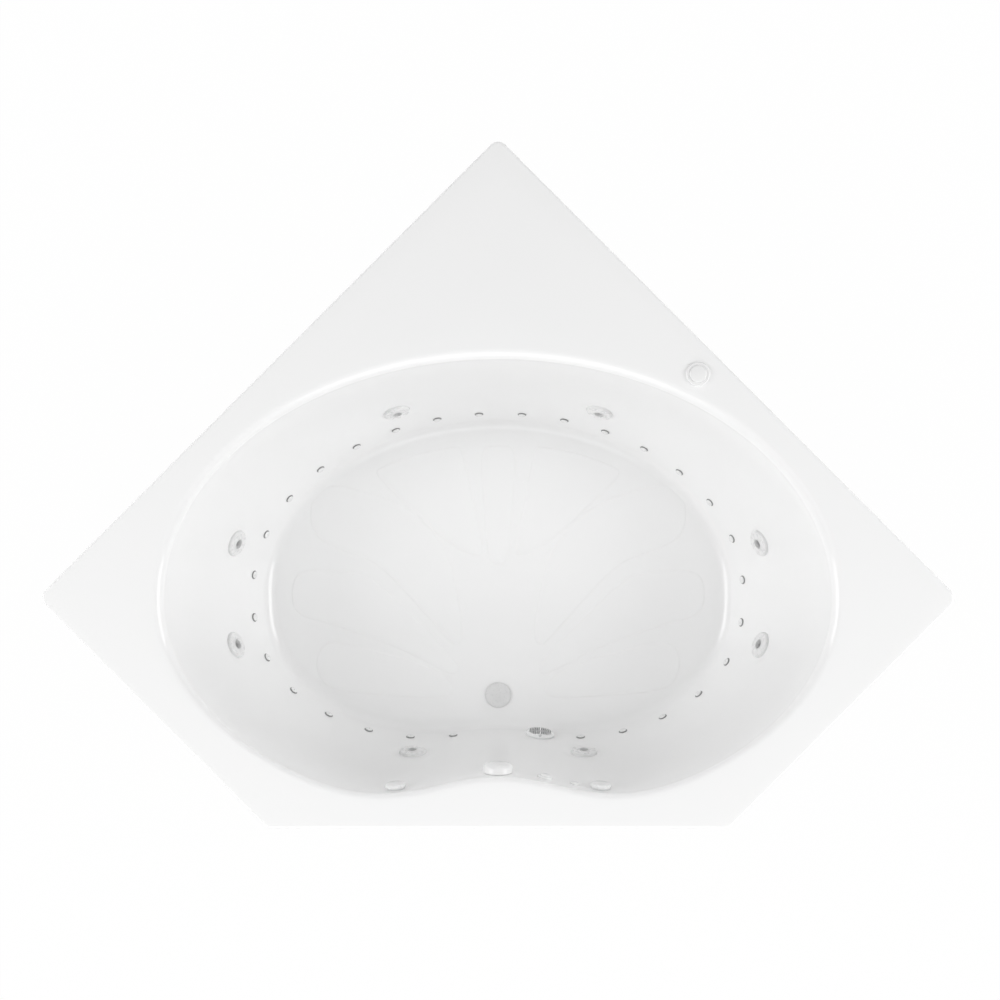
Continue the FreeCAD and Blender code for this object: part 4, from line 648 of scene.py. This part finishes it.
# The air channel is a satin PVC moulding glued round the foot of the basin's wall, behind the injectors.
# A check valve of the same plastic joins it to the blower.
pvc, pvc_shader, pvc_place = start_material("satin_pvc", 0.35)
tint(pvc, pvc_shader, noise(pvc, pvc_place, 20.0, 3.0), (0.74, 0.75, 0.75), (0.82, 0.83, 0.83))
gloss(pvc, pvc_shader, noise(pvc, pvc_place, 60.0), 0.28, 0.45)
relief(pvc, pvc_shader, noise(pvc, pvc_place, 500.0), 0.00002)
for node in ("air_channel", "air_check_valve"):
    finished(node, pvc)


# The air injectors are small white mushroom caps pushed through the wall at equal steps round its foot.
# Air comes out all round under each cap, over a seat ring that closes on the wall, painted dark grey as
# painted shade for the shadowed gap under the cap.
INJECTOR_STATIONS = 31
INJECTORS_LEFT_OUT = 2
INJECTOR_START = -0.007
INJECTOR_HEIGHT = 0.064
INJECTOR_LOOK_UPS = 2001  # places along the wall's foot at which its length is looked up
INJECTOR_PROFILE = [      # radius and height from the back of the stem to the crown of the cap
    (0.004, -0.016), (0.004, 0.0001), (0.0106, 0.0002), (0.011, 0.0005), (0.0108, 0.0009),
    (0.0104, 0.0011), (0.0058, 0.0011), (0.0046, 0.0012), (0.0046, 0.0021), (0.0078, 0.0021),
    (0.0085, 0.0023), (0.0088, 0.0027), (0.0086, 0.0032), (0.0079, 0.0038), (0.0064, 0.0042),
    (0.004, 0.00445), (0.0018, 0.0045), (0.0015, 0.0043), (0.0014, 0.003)]
PAINTED_SHADE_BACK = 0.00015  # the seat ring, painted dark grey as painted shade, is the part of the profile between these heights
PAINTED_SHADE_FRONT = 0.00215


def turned_piece(profile, sides):
    """A round piece about Z: a rod drawn up, ring by ring, through a profile of radii and heights."""
    radius, low = profile[0]
    height = profile[1][1]
    bpy.ops.object.select_all(action="DESELECT")
    bpy.ops.mesh.primitive_cylinder_add(
        vertices=sides, radius=radius, depth=height - low, location=(0, 0, (height + low) / 2))
    piece = bpy.context.object
    bpy.ops.object.transform_apply(location=True, rotation=False, scale=False)
    bpy.ops.object.mode_set(mode="EDIT")
    bpy.ops.mesh.select_mode(type="FACE")
    bpy.ops.mesh.select_all(action="DESELECT")
    bpy.ops.object.mode_set(mode="OBJECT")
    for face in piece.data.polygons:
        face.select = face.normal.z > 0.9
    bpy.ops.object.mode_set(mode="EDIT")
    for wide, up in profile[2:]:
        bpy.ops.mesh.extrude_region_move(TRANSFORM_OT_translate={"value": (0, 0, up - height)})
        bpy.ops.transform.resize(value=(wide / radius, wide / radius, 1), center_override=(0, 0, up))
        radius = wide
        height = up
    bpy.ops.object.mode_set(mode="OBJECT")
    bpy.ops.object.shade_smooth_by_angle(angle=math.radians(40))
    return piece


trim, trim_shader, trim_place = start_material("white_moulded_trim", 0.2)
tint(trim, trim_shader, noise(trim, trim_place, 30.0), (0.9, 0.9, 0.9), (0.92, 0.92, 0.918))
gloss(trim, trim_shader, noise(trim, trim_place, 90.0), 0.14, 0.26)
relief(trim, trim_shader, noise(trim, trim_place, 900.0), 0.00001)
# The seat ring's dark grey is painted shade, standing for the shadow in the gap under each cap.
painted_shade_ring, painted_shade_ring_shader, painted_shade_ring_place = start_material("painted_shade_seat_ring", 0.6)
painted_shade_ring_cloud = noise(painted_shade_ring, painted_shade_ring_place, 200.0)
tint(painted_shade_ring, painted_shade_ring_shader, painted_shade_ring_cloud, (0.3, 0.3, 0.3), (0.36, 0.36, 0.36))
relief(painted_shade_ring, painted_shade_ring_shader, noise(painted_shade_ring, painted_shade_ring_place, 1500.0), 0.00003)

shares = np.linspace(0, 1, INJECTOR_LOOK_UPS)
foot_line = wall(2 * math.pi * (shares - 0.25), np.full(len(shares), INJECTOR_HEIGHT))
run_length = np.append(0, np.cumsum(np.linalg.norm(np.diff(foot_line, axis=0), axis=1)))
injector = turned_piece(INJECTOR_PROFILE, sides=28)
injector.data.materials.append(trim)
injector.data.materials.append(painted_shade_ring)
# Faces of the seat ring, between these heights, take the painted shade.
for face in injector.data.polygons:
    face.material_index = int(PAINTED_SHADE_BACK < face.center.z < PAINTED_SHADE_FRONT)
injectors = []
for station in range(INJECTORS_LEFT_OUT, INJECTOR_STATIONS):
    wanted = run_length[-1] * station / INJECTOR_STATIONS + INJECTOR_START
    share = shares[np.searchsorted(run_length, wanted)]
    one = bpy.data.objects.new("air_injector", injector.data.copy())
    one.data.transform(wall_seat(360.0 * share - 90.0, INJECTOR_HEIGHT))
    bpy.context.scene.collection.objects.link(one)
    injectors.append(one)
bpy.data.objects.remove(injector)
injectors = joined(injectors)
injectors.name = "air_injectors_finished"
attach(injectors, "tub")
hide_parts("air_injectors")


# Each water jet is a PVC body clamped through the wall by a nut on a rubber gasket behind.
# A white face ring turns on its flange, and a white ball nozzle tilts in the ring; both are painted a shade
# darker than the other trim as painted shade, and the nozzle's bore is painted grey as painted shade.
rubber, rubber_shader, rubber_place = start_material("black_rubber", 0.7)
tint(rubber, rubber_shader, noise(rubber, rubber_place, 80.0), (0.025, 0.025, 0.026), (0.05, 0.05, 0.05))
relief(rubber, rubber_shader, noise(rubber, rubber_place, 700.0), 0.00005)
finished("jet_bodies", pvc)
finished("jet_gaskets", rubber)
finished("jet_nuts", pvc)
JET_FACE_PROFILE = [      # from the back of the sleeve, over the dished front, to the ball's seat
    (0.0195, -0.014), (0.0195, 0.0032), (0.0315, 0.0033), (0.0316, 0.0001), (0.0334, 0.0001),
    (0.0333, 0.0012), (0.0327, 0.0032), (0.0316, 0.005), (0.0303, 0.0062), (0.0291, 0.0067),
    (0.0275, 0.0067), (0.0245, 0.0062), (0.0215, 0.006), (0.0185, 0.0063), (0.016, 0.0071),
    (0.0145, 0.0076), (0.0134, 0.0075), (0.0131, 0.0071), (0.0139, 0.005), (0.0143, 0.001), (0.0143, -0.0139)]
NOZZLE_PROFILE = [        # round the ball from its back to the flared mouth, and back through the bore
    (0.0106, -0.0081), (0.0106, -0.008), (0.0121, -0.006), (0.0134, -0.003), (0.01396, 0.0),
    (0.01386, 0.003), (0.01308, 0.006), (0.0125, 0.0073), (0.0121, 0.008), (0.0119, 0.0084),
    (0.0116, 0.0086), (0.0112, 0.0083), (0.0102, 0.006), (0.0088, 0.003), (0.0078, 0.0),
    (0.0078, -0.004), (0.0098, -0.008)]
NOZZLE_MOUTH = 0.0082     # the bore, painted grey as painted shade for its depth, is the part of the ball inside its mouth, behind this height
NOZZLE_BORE_R = 0.0111


def turned_ring(profile, sides):
    """A turned piece with a bore: its first and last rings are joined."""
    piece = turned_piece(profile, sides)
    for face in piece.data.polygons:
        face.select = len(face.vertices) == sides
    bpy.ops.object.mode_set(mode="EDIT")
    bpy.ops.mesh.bridge_edge_loops()
    bpy.ops.mesh.select_all(action="SELECT")
    bpy.ops.mesh.normals_make_consistent(inside=False)
    bpy.ops.object.mode_set(mode="OBJECT")
    bpy.ops.object.shade_smooth_by_angle(angle=math.radians(40))
    return piece


# The jet trim is the white trim painted a shade darker, as painted shade on the face rings and nozzles.
shaded_jet_trim, shaded_jet_trim_shader, shaded_jet_trim_place = start_material("shaded_jet_trim", 0.3)
shaded_jet_trim_cloud = noise(shaded_jet_trim, shaded_jet_trim_place, 30.0)
tint(shaded_jet_trim, shaded_jet_trim_shader, shaded_jet_trim_cloud, (0.83, 0.83, 0.83), (0.86, 0.86, 0.858))
gloss(shaded_jet_trim, shaded_jet_trim_shader, noise(shaded_jet_trim, shaded_jet_trim_place, 90.0), 0.22, 0.36)
relief(shaded_jet_trim, shaded_jet_trim_shader, noise(shaded_jet_trim, shaded_jet_trim_place, 900.0), 0.00001)
# The bore's grey is painted shade for the depth inside the white nozzle's mouth.
painted_bore_shade, painted_bore_shade_shader, painted_bore_shade_place = start_material("jet_bore_painted_shade", 0.5)
painted_bore_shade_cloud = noise(painted_bore_shade, painted_bore_shade_place, 150.0)
tint(painted_bore_shade, painted_bore_shade_shader, painted_bore_shade_cloud, (0.62, 0.62, 0.62), (0.68, 0.68, 0.68))
relief(painted_bore_shade, painted_bore_shade_shader, noise(painted_bore_shade, painted_bore_shade_place, 900.0), 0.00002)
jet_face = turned_ring(JET_FACE_PROFILE, sides=56)
jet_face.data.materials.append(shaded_jet_trim)
jet_nozzle = turned_ring(NOZZLE_PROFILE, sides=40)
jet_nozzle.data.materials.append(shaded_jet_trim)
jet_nozzle.data.materials.append(painted_bore_shade)
# Faces inside the mouth take the painted shade.
for face in jet_nozzle.data.polygons:
    middle_r = math.hypot(face.center.x, face.center.y)
    face.material_index = int(face.center.z < NOZZLE_MOUTH and middle_r < NOZZLE_BORE_R)
for name, seat in jet_seats.items():
    for kind, pattern in (("jet_face_", jet_face), ("jet_nozzle_", jet_nozzle)):
        piece = bpy.data.objects.new(kind + name + "_finished", pattern.data.copy())
        piece.data.transform(seat)
        bpy.context.scene.collection.objects.link(piece)
        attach(piece, kind + name)
        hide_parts(kind + name)
bpy.data.objects.remove(jet_face)
bpy.data.objects.remove(jet_nozzle)


# Rigid PVC pipes, cut and cemented, join the jets in a ring and bring water from the pump.
# The thin air hoses that run along them, and the button tubes, are flexible clear vinyl.
finished("water_pipes", pvc)
vinyl, vinyl_shader, vinyl_place = start_material("clear_vinyl", 0.25)
tint(vinyl, vinyl_shader, noise(vinyl, vinyl_place, 40.0), (0.62, 0.66, 0.66), (0.74, 0.78, 0.78))
gloss(vinyl, vinyl_shader, noise(vinyl, vinyl_place, 120.0), 0.18, 0.34)
for node in ("air_hoses", "button_tubes"):
    finished(node, vinyl)


# The suction fitting draws water to the pump through a domed white cover with upright slots.
# Its PVC body is clamped through the wall, and a large pipe leads from it round the front of the basin.
COVER_PROFILE = [         # radius and height over the outside of the dome, and back down the inside
    (0.036, 0.003), (0.036, 0.0052), (0.0356, 0.0058), (0.0347, 0.0065), (0.033, 0.009),
    (0.03, 0.0106), (0.025, 0.0123), (0.02, 0.0134), (0.014, 0.0142), (0.008, 0.0148), (0.0002, 0.015),
    (0.0002, 0.0125), (0.008, 0.0122), (0.014, 0.0116), (0.02, 0.0106), (0.025, 0.0093), (0.03, 0.0069),
    (0.0325, 0.004), (0.0325, 0.0031)]
COVER_RIB = 0.004         # upright rib in the middle
COVER_SLOT = 0.0027
COVER_BAR = 0.0017        # between neighbouring slots
COVER_SLOTS = 6           # each side of the rib
COVER_SLOT_REACH = 0.0318
COVER_SLOT_HALF = 0.0275  # half the length of the longest slots, which end short of the wells
COVER_SCREW_OFF = 0.032   # screws above and below the middle, in wells
COVER_WELL_R = 0.0037
COVER_WELL_FLOOR = 0.006
COVER_CUT = 0.02          # height of what cuts the slots and wells, well over the dome's
suction_cover = turned_ring(COVER_PROFILE, sides=72)
cutters = []
for side in (-1, 1):
    for i in range(COVER_SLOTS):
        x = COVER_RIB / 2 + COVER_SLOT / 2 + i * (COVER_SLOT + COVER_BAR)
        half = min(COVER_SLOT_HALF, math.sqrt(COVER_SLOT_REACH ** 2 - (x + COVER_SLOT / 2) ** 2))
        bpy.ops.object.select_all(action="DESELECT")
        bpy.ops.mesh.primitive_cube_add(
            size=1, location=(side * x, 0, COVER_CUT / 2), scale=(COVER_SLOT, 2 * half, COVER_CUT))
        cutters.append(bpy.context.object)
    bpy.ops.object.select_all(action="DESELECT")
    well = (0, side * COVER_SCREW_OFF, COVER_WELL_FLOOR + COVER_CUT / 2)
    bpy.ops.mesh.primitive_cylinder_add(vertices=24, radius=COVER_WELL_R, depth=COVER_CUT, location=well)
    cutters.append(bpy.context.object)
cut_away(suction_cover, cutters)
bpy.ops.object.shade_smooth_by_angle(angle=math.radians(30))
suction_cover.name = "suction_cover_finished"
suction_cover.data.materials.clear()
suction_cover.data.materials.append(trim)
suction_cover.data.transform(suction_seat)
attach(suction_cover, "tub")
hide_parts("suction_cover")
for node in ("suction_body", "suction_pipe", "fitting_nuts"):
    finished(node, pvc)


# The drain is a satin flange in the floor with a domed stopper that rises from it.
# Under the floor a PVC shoe and tailpiece take the water away, with a rubber washer under the sheet.
satin, satin_shader, satin_place = start_material("satin_drain_trim", 0.3)
tint(satin, satin_shader, noise(satin, satin_place, 50.0), (0.76, 0.76, 0.76), (0.79, 0.79, 0.79))
gloss(satin, satin_shader, noise(satin, satin_place, 160.0), 0.25, 0.38)
STOPPER_PROFILE = [       # radius and height from the foot of the stem to the crown
    (0.005, -0.034), (0.005, 0.0033), (0.0317, 0.0033), (0.0323, 0.0036), (0.0324, 0.0042), (0.0316, 0.0052),
    (0.029, 0.0062), (0.024, 0.0071), (0.017, 0.0078), (0.009, 0.0082), (0.002, 0.0083)]
finished("drain_flange", satin)
stopper = turned_piece(STOPPER_PROFILE, sides=64)
stopper.name = "drain_stopper_finished"
stopper.data.materials.append(satin)
stopper.data.transform(drain_seat)
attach(stopper, "drain_stopper")
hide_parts("drain_stopper")
for node in ("drain_shoe", "drain_tailpiece"):
    finished(node, pvc)
finished("waste_gaskets", rubber)


# The overflow dial is a hollow white knob with water ports in its lower edge, turned by hand.
# It works the stopper through a cable in a rubber sheath beside the PVC overflow tube.
finished("overflow_dial", trim)
for node in ("overflow_body", "overflow_tube"):
    finished(node, pvc)
finished("stopper_cable", rubber)


# Two scalloped white knobs let air into the jets.
# Each turns in a PVC body that is clamped through the wall under the rim.
for node in ("air_knob_left", "air_knob_right"):
    finished(node, trim)
finished("air_control_bodies", pvc)


# Two air buttons switch the pump and the blower: a large one on the deck and a small one on the wall.
# Each is a white cap in a white bezel, and a level sensor of the same plastic sits beside the small one.
for node in ("button_housings", "deck_button_cap", "wall_button_cap", "level_sensor"):
    finished(node, trim)


# The pump has a black glass-filled wet end, with its impeller inside, on a moulded black plate.
# Its finned motor and end bell are cast and enamelled, and the shaft is plated steel.
black, black_shader, black_place = start_material("black_moulding", 0.45)
tint(black, black_shader, noise(black, black_place, 60.0, 4.0), (0.02, 0.02, 0.022), (0.05, 0.05, 0.052))
relief(black, black_shader, noise(black, black_place, 1400.0), 0.00004)
for node in ("pump_base", "pump_volute", "pump_impeller"):
    finished(node, black)
enamel, enamel_shader, enamel_place = start_material("motor_enamel", 0.3)
tint(enamel, enamel_shader, noise(enamel, enamel_place, 25.0, 3.0), (0.05, 0.075, 0.11), (0.085, 0.115, 0.16))
relief(enamel, enamel_shader, noise(enamel, enamel_place, 350.0), 0.00005)
for node in ("pump_motor", "pump_end_bell"):
    finished(node, enamel)
finished("pump_shaft", zinc)


# The blower stands on three legs: a black moulded fan housing with a vented hood over its motor.
# The fan wheel inside is the same plastic, and its outlet joins the check valve.
housing, housing_shader, housing_place = start_material("blower_moulding", 0.5)
housing_cloud = noise(housing, housing_place, 50.0, 4.0)
tint(housing, housing_shader, housing_cloud, (0.03, 0.03, 0.032), (0.07, 0.07, 0.074))
relief(housing, housing_shader, noise(housing, housing_place, 1100.0), 0.00005)
for node in ("blower_base", "blower_hood", "blower_fan"):
    finished(node, housing)


# The control box is a grey moulded case with rounded edges and two ears.
# It is screwed to the board by its ears, and the button tubes enter its wall side.
case, case_shader, case_place = start_material("grey_case", 0.45)
tint(case, case_shader, noise(case, case_place, 40.0, 3.0), (0.3, 0.31, 0.33), (0.38, 0.39, 0.41))
relief(case, case_shader, noise(case, case_place, 1300.0), 0.00006)
finished("control_box", case)
